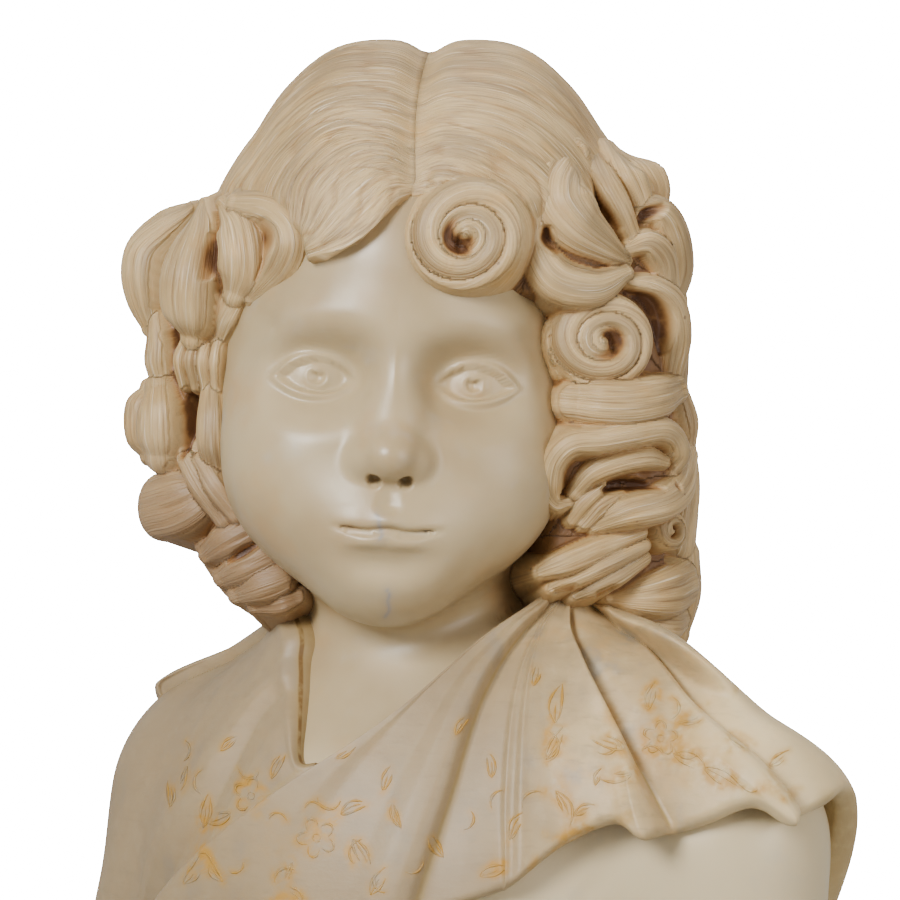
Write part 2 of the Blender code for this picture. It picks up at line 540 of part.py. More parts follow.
PLEATS = [
    # fold number along the collar, how far the cloth stands out there
    (0, 0), (1, 1), (1.9, 2), (2.1, -1.5), (2.9, 1), (3.6, 2), (3.9, 3), (4.1, -1), (4.9, 3), (5.1, 0),
        (5.9, 3),
    (6.1, 0), (6.9, 3), (7.1, 0), (7.9, 3), (8.1, 0), (8.9, 3), (9.1, 0), (10, 3), (10.9, 5.5), (11.05, 0),
    (12, 1), (12.93, 5.5), (13.05, 0), (14, 1), (14.9, 3), (15.1, -2), (15.9, -2), (16.05, 3.5),
        (17, 2), (18, 2.5),
]


def collar_grid(across, along):
    """The collar's upper side: a fan of folds, with its lift off the torso growing towards the hem."""
    guides = collar_guides()
    grid = loft(guides, across, along)
    fold = np.linspace(0, len(guides) - 1, across)
    relief = np.interp(fold, *zip(*PLEATS))[:, None]
    v = np.linspace(0, 1, along)[None]
    lift = grid[..., 3] + relief * np.minimum(1, 2.2 * v) + 2 * v
    return settle(grid[..., :3], torso_distance, lift), lift


def add_collar(body):
    """The collar as one thick sheet that lies on the chest, shoulders and back."""
    upper, lift = collar_grid(150, 16)
    lower = settle(upper, torso_distance, np.minimum(lift - COLLAR_THICKNESS, 2.0))
    body.slab(upper[::-1], lower[::-1])


def raw_mesh(body):
    """All the closed surfaces in one mesh, in metres, about the origin."""
    mesh = bpy.data.meshes.new("carving")
    points = np.concatenate(body.points) - np.append(CENTRE, 0.0)
    mesh.from_pydata((points * MM).tolist(), [], body.faces)
    mesh.update()
    return mesh


def evaluated(obj):
    """The object's mesh with its modifiers applied."""
    return bpy.data.meshes.new_from_object(obj.evaluated_get(bpy.context.evaluated_depsgraph_get()))


def modified(mesh, kind, **settings):
    """A mesh after one modifier."""
    obj = bpy.data.objects.new("stage", mesh)
    bpy.context.scene.collection.objects.link(obj)
    modifier = obj.modifiers.new(kind.title(), kind)
    for key, value in settings.items():
        setattr(modifier, key, value)
    bpy.context.view_layer.update()
    result = evaluated(obj)
    bpy.data.objects.remove(obj)
    return result


def keep_outer_body(mesh):
    """Drops the little closed hollows and chips that fusing leaves, and keeps the one great surface."""
    bm = bmesh.new()
    bm.from_mesh(mesh)
    seen, shells = set(), []
    for first in bm.verts:
        if first in seen:
            continue
        shell, todo = [], [first]
        seen.add(first)
        while todo:
            vertex = todo.pop()
            shell.append(vertex)
            for edge in vertex.link_edges:
                other = edge.other_vert(vertex)
                if other not in seen:
                    seen.add(other)
                    todo.append(other)
        shells.append(shell)
    shells.sort(key=len, reverse=True)
    for shell in shells[1:]:
        bmesh.ops.delete(bm, geom=shell, context="VERTS")
    bm.to_mesh(mesh)
    bm.free()
    return mesh


def cut_flat(mesh):
    """Cuts the body at z = 0 and fills the flat underside."""
    bm = bmesh.new()
    bm.from_mesh(mesh)
    whole = bm.verts[:] + bm.edges[:] + bm.faces[:]
    down = (0, 0, -1)
    cut = bmesh.ops.bisect_plane(bm, geom=whole, plane_co=(0, 0, 0), plane_no=down, clear_outer=True)
    edges = [e for e in cut["geom_cut"] if isinstance(e, bmesh.types.BMEdge)]
    bmesh.ops.holes_fill(bm, edges=[e for e in edges if e.is_boundary], sides=0)
    bmesh.ops.triangulate(bm, faces=bm.faces[:])
    bmesh.ops.recalc_face_normals(bm, faces=bm.faces[:])
    bm.to_mesh(mesh)
    bm.free()
    return mesh


def marble():
    """Pale polished marble."""
    material = bpy.data.materials.new("marble")
    material.use_nodes = True
    shader = material.node_tree.nodes["Principled BSDF"]
    shader.inputs["Base Color"].default_value = (0.72, 0.64, 0.52, 1)
    shader.inputs["Roughness"].default_value = 0.38
    shader.inputs["Metallic"].default_value = 0.0
    return material


def main():
    for obj in list(bpy.data.objects):
        bpy.data.objects.remove(obj)
    body = Carving()
    add_torso(body)
    add_collar(body)
    add_head(body)
    add_core(body)
    add_crown(body)
    add_hair(body)
    fused = modified(raw_mesh(body), "REMESH", mode="VOXEL", voxel_size=FUSE_STEP * MM)
    fused = keep_outer_body(fused)
    thinned = modified(fused, "DECIMATE", ratio=FACETS / (2 * len(fused.polygons)))
    mesh = keep_outer_body(cut_flat(thinned))
    mesh.name = "bust"
    mesh.shade_smooth()
    mesh.materials.clear()
    mesh.materials.append(marble())
    bust = bpy.data.objects.new("bust", mesh)
    bpy.context.scene.collection.objects.link(bust)


main()
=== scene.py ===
import math

import bpy
import numpy as np
from bpy.props import FloatProperty, FloatVectorProperty, PointerProperty
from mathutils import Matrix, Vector


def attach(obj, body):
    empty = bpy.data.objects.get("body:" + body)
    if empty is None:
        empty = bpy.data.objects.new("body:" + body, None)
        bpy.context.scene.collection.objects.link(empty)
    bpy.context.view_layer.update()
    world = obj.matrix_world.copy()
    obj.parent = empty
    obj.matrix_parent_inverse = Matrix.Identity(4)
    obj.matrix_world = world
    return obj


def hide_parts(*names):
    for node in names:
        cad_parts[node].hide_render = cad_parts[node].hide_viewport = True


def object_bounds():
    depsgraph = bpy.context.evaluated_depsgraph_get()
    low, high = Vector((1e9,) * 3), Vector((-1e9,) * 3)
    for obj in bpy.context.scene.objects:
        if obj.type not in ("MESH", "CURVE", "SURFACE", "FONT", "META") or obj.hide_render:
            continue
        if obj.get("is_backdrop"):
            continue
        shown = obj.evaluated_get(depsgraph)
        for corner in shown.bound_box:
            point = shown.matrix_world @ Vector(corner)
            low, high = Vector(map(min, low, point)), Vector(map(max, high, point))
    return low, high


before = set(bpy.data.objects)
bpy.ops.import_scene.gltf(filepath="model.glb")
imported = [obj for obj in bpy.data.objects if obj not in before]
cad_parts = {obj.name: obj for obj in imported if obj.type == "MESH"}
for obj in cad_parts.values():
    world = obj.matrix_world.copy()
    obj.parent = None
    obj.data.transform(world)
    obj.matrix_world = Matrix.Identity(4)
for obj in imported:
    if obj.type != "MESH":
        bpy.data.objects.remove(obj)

bl_info = {
    "name": "Carved Marble Bust",
    "version": (1, 0, 0),
    "blender": (4, 5, 0),
    "location": "View3D > Sidebar > Bust",
    "description": "A marble portrait bust of a curly-haired child in a pleated collar, as carved surfaces",
    "category": "Add Mesh",
}

# Lengths are in millimetres, with the viewer's right as x, away from the viewer as y and up as z. The solid's
# middle is at CENTRE in these measures, and every surface is moved by it and made metres at the end.
MM = 0.001
CENTRE = (-2.0, 13.2)

TORSO_TURN = math.radians(30)
TORSO_AXIS = np.array([-14.0, 12.0])
NEAR_SHOULDER = (84.0, -40.0, 62.0)
FAR_SHOULDER = (-86.0, 56.0, 76.0)
ARM_RADIUS = 35.0
NECK_RADIUS = 39.0

HEAD_CENTRE = np.array([-26.0, -2.0, 217.0])
HEAD_ROLL = math.radians(3)
EYE = (26.5, -45.0, 0.0)
HAIR_AXIS = np.array([-21.0, 18.0])
CROWN_CENTRE = np.array([-15.0, 8.0, 238.0])
CROWN_RADII = np.array([86.0, 93.0, 98.0])
FRONT_END = 168.0
GLOW = 30.0


def unit(vectors):
    """The vectors, each made one long."""
    return vectors / np.maximum(np.linalg.norm(vectors, axis=-1, keepdims=True), 1e-9)


def smooth(t):
    """0 below 0, 1 above 1 and 3t^2 - 2t^3 between."""
    t = np.clip(t, 0, 1)
    return t * t * (3 - 2 * t)


def spline(points, count):
    """Catmull-Rom curve through the points at even lengths; further columns, such as widths, go along."""
    p = np.asarray(points, float)
    ends = np.vstack([2 * p[0] - p[1], p, 2 * p[-1] - p[-2]])
    t = np.linspace(0, len(p) - 1, 24 * len(p))
    k = np.minimum(t.astype(int), len(p) - 2)
    s = (t - k)[:, None]
    a, b, c, d = ends[k], ends[k + 1], ends[k + 2], ends[k + 3]
    fine = 0.5 * (2 * b + (c - a) * s + (2 * a - 5 * b + 4 * c - d) * s**2 + (3 * b - a - 3 * c + d) * s**3)
    length = np.concatenate([[0], np.cumsum(np.linalg.norm(np.diff(fine[:, :3], axis=0), axis=1))])
    at = np.linspace(0, length[-1], count)
    return np.stack([np.interp(at, length, column) for column in fine.T], axis=1)


def loft(curves, at, along):
    """A grid through a row of curves: each is smoothed, and then the places that face each other, at rows at."""
    rows = np.stack([spline(c, along) for c in curves])
    p = np.concatenate([[2 * rows[0] - rows[1]], rows, [2 * rows[-1] - rows[-2]]])
    k = np.minimum(at.astype(int), len(rows) - 2)
    s = (at - k)[:, None, None]
    a, b, c, d = p[k], p[k + 1], p[k + 2], p[k + 3]
    return 0.5 * (2 * b + (c - a) * s + (2 * a - 5 * b + 4 * c - d) * s**2 + (3 * b - a - 3 * c + d) * s**3)


def ellipsoid(p, centre, radii):
    """About the distance from each point to an ellipsoid, negative inside."""
    radii = np.array(radii, float)
    q = (p - np.array(centre, float)) / radii
    k = np.linalg.norm(q, axis=-1)
    return k * (k - 1) / np.maximum(np.linalg.norm(q / radii, axis=-1), 1e-9)


def cone(p, a, b, ra, rb):
    """About the distance to a round-ended cone from a to b, with radii ra and rb."""
    a, b = np.asarray(a, float), np.asarray(b, float)
    t = np.clip(((p - a) @ (b - a)) / ((b - a) @ (b - a)), 0, 1)
    return np.linalg.norm(p - a - t[..., None] * (b - a), axis=-1) - (ra + (rb - ra) * t)


def blend(a, b, k):
    """The smaller of two distances, less (k - |a - b|)^2 / 4k where they are closer than k: a fillet."""
    h = np.maximum(k - np.abs(a - b), 0) / k
    return np.minimum(a, b) - h * h * k / 4


def carve(a, b, k):
    """What is left of a when b is taken out of it, with an edge about k wide."""
    return -blend(-a, b, k)


def turned(p, centre):
    """Points in the torso's own directions, about a centre."""
    c, s = math.cos(TORSO_TURN), math.sin(TORSO_TURN)
    q = p - centre
    return np.stack([q[..., 0] * c - q[..., 1] * s, q[..., 0] * s + q[..., 1] * c, q[..., 2]], -1)


def torso_distance(p):
    """The chest, shoulders, sleeves and neck as one rounded form: filleted ellipsoid and cones."""
    forward = 6 * np.array([math.sin(TORSO_TURN), math.cos(TORSO_TURN)])
    middle = np.append(TORSO_AXIS - forward, 40.0)
    chest = ellipsoid(turned(p, middle), (0, 0, 0), (94, 74, 92))
    neck = cone(p, (-19, 8, 96), (-21, 4, 160), NECK_RADIUS + 1, NECK_RADIUS - 2)
    near, far = np.array(NEAR_SHOULDER), np.array(FAR_SHOULDER)
    body = blend(chest, cone(p, (0, -6, 106), near, 31, ARM_RADIUS), 26)
    body = blend(body, cone(p, (-36, 22, 106), far, 31, ARM_RADIUS), 26)
    body = blend(body, cone(p, near, near + (6, 2, -120), ARM_RADIUS, ARM_RADIUS + 1), 9)
    body = blend(body, cone(p, far, far + (-3, -2, -120), ARM_RADIUS, ARM_RADIUS + 1), 9)
    return blend(body, neck, 16)


def in_head(p):
    """Points in the head's own directions: x across the face, y back and z up, from between the eyes."""
    c, s = math.cos(HEAD_ROLL), math.sin(HEAD_ROLL)
    q = p - HEAD_CENTRE
    return np.stack([q[..., 0] * c - q[..., 2] * s, q[..., 1], q[..., 0] * s + q[..., 2] * c], -1)


def from_head(q):
    """The opposite of in_head."""
    c, s = math.cos(HEAD_ROLL), math.sin(HEAD_ROLL)
    back = [q[..., 0] * c + q[..., 2] * s, q[..., 1], q[..., 2] * c - q[..., 0] * s]
    return np.stack(back, -1) + HEAD_CENTRE


def almond(m):
    """Below nought inside the opening between the lids: a curve above and a flatter one below."""
    e = (m[..., 0] - EYE[0]) / 13.0
    z = m[..., 2] - EYE[2] - e
    top = 6.4 * (1 - np.abs(e + 0.08) ** 2.3)
    low = -4.6 * (1 - np.abs(e - 0.05) ** 2.2)
    return np.maximum(z - top, low - z) * 0.85


def skull(q, m):
    """Skull, jaw, chin, cheeks, brow and the swell of the mouth, with m the points mirrored to one side."""
    d = blend(ellipsoid(q, (0, 8, 36), (61, 83, 68)), ellipsoid(q, (0, -20, -23), (53.5, 51, 54)), 30)
    d = blend(d, ellipsoid(q, (0, -4, 0), (58, 60, 50)), 16)
    d = blend(d, ellipsoid(q, (0, -51, -60), (23, 21, 20.5)), 22)
    d = blend(d, ellipsoid(m, (29, -42, -30), (24, 25, 25)), 22)
    d = blend(d, ellipsoid(m, (17, -57.5, 17), (17, 8, 6)), 18)
    return blend(d, ellipsoid(q, (0, -56, -47), (27, 19.5, 19)), 14)


def eye(m):
    """A lidded eyeball, with a shallow ring round the iris and a drilled pupil that leaves a small peg."""
    opening = almond(m)
    lid = ellipsoid(m, EYE, (17.0, 16.6, 14.2))
    lid = np.minimum(lid, np.hypot(opening - 1.5, np.maximum(lid, 0) * 0.8) - 1.5 + np.maximum(-lid - 3, 0))
    fold = np.hypot(opening - 5.0, 0.5 * lid) - 1.2 + 3 * (m[..., 2] < EYE[2] + 2.5)
    lid = carve(carve(lid, fold, 1.4), opening, 0.6)
    ball = ellipsoid(m, EYE, (14.8, 14.6, 13.6))
    x, y, z = m[..., 0] - 26.0, m[..., 1] + 59.6, m[..., 2] - 0.7
    ring = np.hypot(np.hypot(x, z) - 5.3, 0.7 * y) - 0.75
    pit = ellipsoid(m, (26, -59.9, 0.6), (2.8, 2.8, 2.7))
    peg = np.hypot(x, z - 1.9) - 0.8
    ball = carve(carve(ball, ring, 0.6), carve(pit, peg, 0.4), 0.6)
    return blend(lid, ball, 0.5)


def head_distance(q):
    """A child's head with plain, even features, in the head's own directions."""
    m = np.concatenate([np.abs(q[..., :1]), q[..., 1:]], -1)
    d = carve(skull(q, m), ellipsoid(m, (25.5, -74.5, 1.5), (20.5, 18.5, 12)), 12)
    d = blend(d, eye(m), 2)
    d = blend(d, cone(q, (0, -61, 10), (0, -73.5, -20), 6.5, 7.5), 10)
    d = blend(d, ellipsoid(q, (0, -77, -24.5), (8.8, 9, 8)), 5)
    d = blend(d, ellipsoid(m, (8.8, -70, -26.5), (5.6, 8, 6)), 5)
    d = carve(d, ellipsoid(m, (5.0, -75.0, -32.3), (2.4, 4.2, 2.4)), 1.4)
    d = carve(d, cone(q, (0, -79.2, -36.5), (0, -79.2, -41), 1.6, 2.2), 4)
    upper = ellipsoid(q, (0, -71.9, -46.2), (5.5, 7.3, 4.2))
    d = blend(d, blend(upper, ellipsoid(m, (7.5, -68.4, -46.4), (12, 8.0, 4.4)), 3), 3)
    d = blend(d, ellipsoid(m, (4.6, -68.6, -53.4), (11.0, 9.8, 4.8)), 2)
    x = q[..., 0]
    line = -49.6 + 0.8 * np.cos(x / 3.4) * np.exp(-((x / 9) ** 2)) + 0.004 * x**2
    slit = np.hypot(q[..., 2] - line, 0.35 * (q[..., 1] + 78.5 - 0.028 * x**2)) - 0.8
    d = carve(d, np.maximum(slit, np.abs(x) - 18), 2.2)
    return carve(d, ellipsoid(q, (0, -78.3, -61), (16, 5.5, 3.6)), 8)


def settle(p, distance, lift):
    """Points moved along a form's slope until they stand so far off it."""
    step = 0.5
    for _ in range(5):
        value = distance(p)
        slope = np.stack([distance(p + step * axis) - value for axis in np.eye(3)], -1)
        p = p - unit(slope) * (value - lift)[..., None]
    return p


def on_front(distance, x, z, lift):
    """The point of a form's front, lifted off it, that is seen at x and z."""
    depth = np.linspace(-130, 60, 600)
    line = np.stack([np.full(600, x), depth, np.full(600, z)], -1)
    values = distance(line) - lift
    return line[np.argmax(values < 0) if (values < 0).any() else int(np.argmin(values))]


def linear(code):
    """A linear colour with alpha from an sRGB hex code."""
    c = np.array([int(code[i : i + 2], 16) for i in (1, 3, 5)]) / 255
    return (*np.where(c <= 0.04045, c / 12.92, ((c + 0.055) / 1.055) ** 2.4), 1.0)


def node(tree, kind, links=(), **settings):
    """Adds a node: settings name its properties or input sockets, links are (socket, output) pairs."""
    new = tree.nodes.new(kind)
    for key, value in settings.items():
        name = key.replace("_", " ")
        if hasattr(new, key):
            setattr(new, key, value)
        elif name.isdigit():
            new.inputs[int(name)].default_value = value
        else:
            new.inputs[name].default_value = value
    for socket, output in links:
        tree.links.new(output, new.inputs[socket])
    return new


def tint(tree, under, amount, code):
    """Mixes a colour over another by an amount between 0 and 1."""
    new = node(tree, "ShaderNodeMix", data_type="RGBA")
    tree.links.new(amount, new.inputs[0])
    if isinstance(under, str):
        new.inputs[6].default_value = linear(under)
    else:
        tree.links.new(under, new.inputs[6])
    new.inputs[7].default_value = linear(code)
    return new.outputs[2]


def ramp(tree, value, low, high, top=1.0):
    """Turns a value into 0 at low and top at high, smoothly."""
    new = node(tree, "ShaderNodeMapRange", [("Value", value)], interpolation_type="SMOOTHSTEP")
    for socket, number in (("From Min", low), ("From Max", high), ("To Max", top)):
        new.inputs[socket].default_value = number
    return new.outputs["Result"]


def clouds(tree, where, size, detail=3.0, stretch=(1, 1, 1), offset=0.0):
    """Noise with cells of about size mm on coordinates in metres or mm, stretched along an axis."""
    shift = node(tree, "ShaderNodeMapping", [("Vector", where)])
    shift.inputs["Location"].default_value = (offset, offset, offset)
    shift.inputs["Scale"].default_value = tuple(1 / (size * s) for s in stretch)
    return node(tree, "ShaderNodeTexNoise", [("Vector", shift.outputs[0])], Scale=1.0, Detail=detail).outputs["Fac"]


def times(tree, a, b):
    """The product of two values."""
    new = node(tree, "ShaderNodeMath", [(0, a)], operation="MULTIPLY")
    if isinstance(b, float):
        new.inputs[1].default_value = b
    else:
        tree.links.new(b, new.inputs[1])
    return new.outputs[0]


def marble(name, roughness):
    """A new marble: its shader, its tree, and object coordinates in metres. Light goes a few mm into the stone."""
    material = bpy.data.materials.new(name)
    material.use_nodes = True
    tree = material.node_tree
    shader = tree.nodes["Principled BSDF"]
    shader.inputs["IOR"].default_value = 1.5
    shader.inputs["Roughness"].default_value = roughness
    shader.inputs["Subsurface Weight"].default_value = 0.16
    shader.inputs["Subsurface Radius"].default_value = (1.0, 0.62, 0.36)
    shader.inputs["Subsurface Scale"].default_value = 2.5 * MM
    return material, tree, shader, node(tree, "ShaderNodeTexCoord").outputs["Object"]


def attribute(tree, name):
    """A measure that is kept on the surface's points."""
    return node(tree, "ShaderNodeAttribute", attribute_name=name)


def finish_marble(tree, shader, colour, heights):
    """Joins the colour, and bumps of so many mm each, to the shader."""
    tree.links.new(colour, shader.inputs["Base Color"])
    normal = None
    for height, depth in heights:
        bump = node(tree, "ShaderNodeBump", [("Height", height)], Distance=depth * MM)
        if normal is not None:
            tree.links.new(normal, bump.inputs["Normal"])
        normal = bump.outputs["Normal"]
    if normal is not None:
        tree.links.new(normal, shader.inputs["Normal"])


def hair_marble():
    """Honed marble, left matter than the skin: tan with grey-brown streaks that follow the chiselled strands, darker
    in the strands' grooves as painted shade and paler on their ridges, partly whitish chisel marks and partly painted
    highlight, browner in the chiselled lines, orange-brown to near black where the drill went deep and in the hollows
    and creases between the locks, partly the stone's old dirt and partly painted shade, and a few dark pin-holes."""
    material, tree, shader, where = marble("honed_hair_marble", 0.5)
    flow = attribute(tree, "flow").outputs["Vector"]
    calm = ramp(tree, attribute(tree, "wall").outputs["Fac"], 0.5, 0.0)
    base = tint(tree, "#C5A878", ramp(tree, clouds(tree, where, 34 * MM), 0.35, 0.7), "#AE9060")
    base = tint(tree, base, ramp(tree, clouds(tree, where, 16 * MM, offset=3.0), 0.55, 0.8, 0.5), "#C6984E")
    streak = clouds(tree, flow, 1.0, 4.0, (1.3, 34, 9))
    base = tint(tree, base, times(tree, ramp(tree, streak, 0.5, 0.74, 0.6), calm), "#806A48")
    pale = clouds(tree, flow, 1.0, 3.0, (0.7, 16, 9), 7.0)
    base = tint(tree, base, ramp(tree, pale, 0.56, 0.75, 0.55), "#DFC79A")
    broad = clouds(tree, flow, 1.0, 2.0, (7, 48, 9), 21.0)
    base = tint(tree, base, ramp(tree, broad, 0.48, 0.66, 0.55), "#8A7452")
    strand = clouds(tree, flow, 1.0, 2.0, (0.75, 26, 9), 13.0)
    # Darker where the strands' bump sinks and paler where it rises: painted shade in the grooves between strands, and
    # on the ridges partly the stone's whitish chisel marks and partly painted highlight.
    base = tint(tree, base, times(tree, ramp(tree, strand, 0.43, 0.3, 0.55), calm), "#7A5C36")
    base = tint(tree, base, times(tree, ramp(tree, strand, 0.6, 0.74, 0.6), calm), "#E4D4B4")
    place = node(tree, "ShaderNodeSeparateXYZ", [("Vector", where)])
    low = ramp(tree, place.outputs["Z"], 0.215, 0.165)
    base = tint(tree, base, times(tree, low, ramp(tree, place.outputs["X"], 0.03, -0.07, 0.8)), "#86684A")
    # Browner in the chiselled lines, along the parting and in the creases between locks: partly dirt in the cuts,
    # partly painted shade.
    base = tint(tree, base, times(tree, attribute(tree, "groove").outputs["Fac"], 0.6), "#8A6436")
    stain = attribute(tree, "stain").outputs["Fac"]
    patchy = ramp(tree, clouds(tree, where, 7 * MM, offset=5.0), 0.15, 0.5)
    # Orange-brown, and near black in patches, as a place lies deeper below the locks round it, in creases and in
    # drilled hollows: partly the stone's old dirt, partly painted shade.
    base = tint(tree, base, ramp(tree, stain, 0.08, 0.75, 0.75), "#A0703A")
    base = tint(tree, base, times(tree, ramp(tree, stain, 0.4, 0.95, 0.95), patchy), "#4C2C12")
    speck = node(tree, "ShaderNodeTexVoronoi", [("Vector", where)], Scale=60.0).outputs["Distance"]
    base = tint(tree, base, ramp(tree, speck, 0.055, 0.03, 0.7), "#6B5138")
    finish_marble(tree, shader, base, [(times(tree, streak, calm), 0.3),
        (times(tree, strand, calm), 0.5), (clouds(tree, where, 0.9 * MM), 0.06)])
    return material


def skin_marble():
    """Polished white marble, which takes a soft gloss and shows warm and cool clouds and one grey-blue vein.
    It is browner along the collar's edge."""
    material, tree, shader, where = marble("polished_skin_marble", 0.27)
    base = tint(tree, "#B4A07A", ramp(tree, clouds(tree, where, 45 * MM), 0.35, 0.7), "#A58E68")
    base = tint(tree, base, ramp(tree, clouds(tree, where, 22 * MM, offset=2.0), 0.52, 0.8, 0.5), "#B6905E")
    height = node(tree, "ShaderNodeSeparateXYZ", [("Vector", where)]).outputs["Z"]
    # Paler low down, on the chest and sleeves: partly their own paler stone, partly painted light where the collar
    # shades them.
    base = tint(tree, base, ramp(tree, height, 0.1, 0.08, 0.85), "#CFBE98")
    base = tint(tree, base, ramp(tree, clouds(tree, where, 18 * MM, offset=8.0), 0.58, 0.8, 0.35), "#A8A59A")
    vein = attribute(tree, "vein").outputs["Fac"]
    base = tint(tree, base, vein, "#7F8187")
    stain = attribute(tree, "stain").outputs["Fac"]
    base = tint(tree, base, ramp(tree, stain, 0.0, 0.9, 0.6), "#B0955E")
    base = tint(tree, base, ramp(tree, stain, 0.6, 1.0, 0.85), "#6A4C22")
    rough = node(tree, "ShaderNodeMath", operation="ADD")
    tree.links.new(ramp(tree, clouds(tree, where, 12 * MM, 5.0), 0.2, 0.9, 0.14), rough.inputs[0])
    rough.inputs[1].default_value = 0.32
    tree.links.new(rough.outputs[0], shader.inputs["Roughness"])
    finish_marble(tree, shader, base, [(clouds(tree, where, 1.4 * MM), 0.03)])
    return material


def cloth_marble():
    """Satin marble of the dress: ivory with soft ochre and grey-blue patches, ochre in the incised sprigs, browner
    along the neck edge, and brown in the folds, under the edges and on the underside: partly dirt, partly painted
    shade."""
    material, tree, shader, where = marble("satin_cloth_marble", 0.5)
    base = tint(tree, "#C6AC7E", ramp(tree, clouds(tree, where, 30 * MM), 0.35, 0.68), "#AA926A")
    base = tint(tree, base, ramp(tree, clouds(tree, where, 20 * MM, offset=4.0), 0.55, 0.78, 0.55), "#C39650")
    cool = clouds(tree, where, 15 * MM, 6.0, (1, 1, 1.8), 9.0)
    base = tint(tree, base, ramp(tree, cool, 0.55, 0.72, 0.7), "#87867E")
    streak = clouds(tree, where, 2.6 * MM, 4.0, (3.0, 3.0, 0.8), 1.0)
    base = tint(tree, base, ramp(tree, streak, 0.52, 0.78, 0.45), "#8A7856")
    mottled = clouds(tree, where, 7 * MM, 6.0, offset=11.0)
    base = tint(tree, base, ramp(tree, mottled, 0.5, 0.72, 0.4), "#96835F")
    base = tint(tree, base, ramp(tree, mottled, 0.46, 0.28, 0.2), "#DCC8A0")
    across = node(tree, "ShaderNodeSeparateXYZ", [("Vector", where)]).outputs["X"]
    # Darker on the viewer's left, where the crossing lapel faces the key lamp: partly the stone's greyer tone there,
    # partly painted shade. Paler and more ivory on the right.
    base = tint(tree, base, ramp(tree, across, 0.05, -0.005, 0.78), "#8E7A5C")
    base = tint(tree, base, ramp(tree, across, 0.06, 0.1, 0.6), "#E2CC9C")
    ochre = attribute(tree, "ochre").outputs["Fac"]
    broken = ramp(tree, clouds(tree, where, 5 * MM, offset=6.0), 0.3, 0.62)
    base = tint(tree, base, times(tree, ramp(tree, ochre, 0.02, 0.9, 0.85), broken), "#B08022")
    stain = attribute(tree, "stain").outputs["Fac"]
    dark_patches = ramp(tree, clouds(tree, where, 4 * MM, offset=3.0), 0.2, 0.6)
    # Brown, and darker brown in patches, in the fold valleys, under the edges, on the underside and behind the arm:
    # partly dirt, partly painted shade; also browner along the neck edge.
    base = tint(tree, base, ramp(tree, stain, 0.0, 0.8, 0.6), "#A08752")
    base = tint(tree, base, times(tree, ramp(tree, stain, 0.5, 1.0, 0.9), dark_patches), "#6A4C22")
    finish_marble(tree, shader, base, [(streak, 0.08), (clouds(tree, where, 1.1 * MM), 0.05)])
    return material


class Carving:
    """Grids of points gathered for one piece, each with the measures kept on its points."""

    def __init__(self):
        self.points, self.quads, self.caps, self.measures, self.count = [], [], [], {}, 0

    def add(self, grid, closed=True, ends=True, **measures):
        """A grid whose rows run round a form (closed) and whose first and last rows are filled (ends)."""
        rows, columns = grid.shape[:2]
        i, j = np.meshgrid(np.arange(rows - 1), np.arange(columns if closed else columns - 1), indexing="ij")
        j2 = (j + 1) % columns
        corners = [i * columns + j, i * columns + j2, (i + 1) * columns + j2, (i + 1) * columns + j]
        self.quads.append(np.stack(corners, -1).reshape(-1, 4) + self.count)
        if ends:
            ring = np.arange(columns) + self.count
            self.caps += [tuple(ring[::-1].tolist()), tuple((ring + (rows - 1) * columns).tolist())]
        size = rows * columns
        for name in set(measures) | set(self.measures):
            value = np.asarray(measures.get(name, 0.0), float)
            if value.ndim == 3:
                value = value.reshape(size, 3)
            elif name == "flow":
                value = np.zeros((size, 3))
            else:
                value = np.broadcast_to(value, (rows, columns)).reshape(size)
            earlier = self.measures.get(name)
            if earlier is None:
                earlier = [np.zeros((self.count, 3) if name == "flow" else self.count)]
            self.measures[name] = earlier + [value]
        self.points.append(grid.reshape(size, 3))
        self.count += size

    def piece(self, name, material, replace=True):
        """Makes the mesh, in metres about the solid's middle, and sets it on the body."""
        points = (np.concatenate(self.points) - np.append(CENTRE, 0.0)) * MM
        mesh = bpy.data.meshes.new(name)
        mesh.from_pydata(points.tolist(), [], np.concatenate(self.quads).tolist() + self.caps)
        for key, values in self.measures.items():
            kind, field = ("FLOAT_VECTOR", "vector") if key == "flow" else ("FLOAT", "value")
            mesh.attributes.new(key, kind, "POINT").data.foreach_set(field, np.concatenate(values).ravel())
        mesh.shade_smooth()
        mesh.materials.append(material)
        mesh.validate()
        obj = bpy.data.objects.new(name, mesh)
        bpy.context.scene.collection.objects.link(obj)
        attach(obj, "root")
        if replace:
            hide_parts("bust")
        return obj


def strand_cuts(turn, along, seed, lines, wander=1.2):
    """How far each place lies in a chiselled line, 0 to 1: the lines are where a sum of cosines of the turn, whose
    phases wander along the strand, passes nought."""
    rng = np.random.default_rng(seed)
    total = np.zeros(np.broadcast_shapes(np.shape(turn), np.shape(along)))
    for share, weight in ((0.55, 0.7), (1.0, 1.0), (1.45, 0.7)):
        k = max(1, round(lines * share))
        phase, drift, bend = rng.uniform(0, 6.28), rng.uniform(-wander, wander), rng.uniform(0, 6.28)
        total = total + weight * np.cos(k * turn + phase + drift * along + 0.5 * wander * np.sin(3 * along + bend))
    return np.clip(1 - np.abs(total) / 0.42, 0, 1) ** 1.3


HEAD_PATH = [
    # share of the rows, origin x, y and z, degrees up from the ray's plane, degrees that the plane leans, reach
    (0.00, 0, -10, -8, 88, 0, 125),
    (0.03, 0, -10, -8, 54, 0, 125),
    (0.21, 0, -10, -8, 12, 0, 120),
    (0.70, 0, -10, -9, -36, 6, 112),
    (0.77, 0, -9, -14, -34, 20, 100),
    (0.83, 1, -5, -26, -22, 38, 84),
    (0.89, 4, 2, -50, -6, 40, 76),
    (1.00, 13, 8, -134, 0, 6, 100),
]
NECK_LIMIT = 78.0


def skin_distance(q):
    """Head, neck and chest as one skin, in the head's own directions."""
    return blend(head_distance(q), torso_distance(from_head(q)), 12)


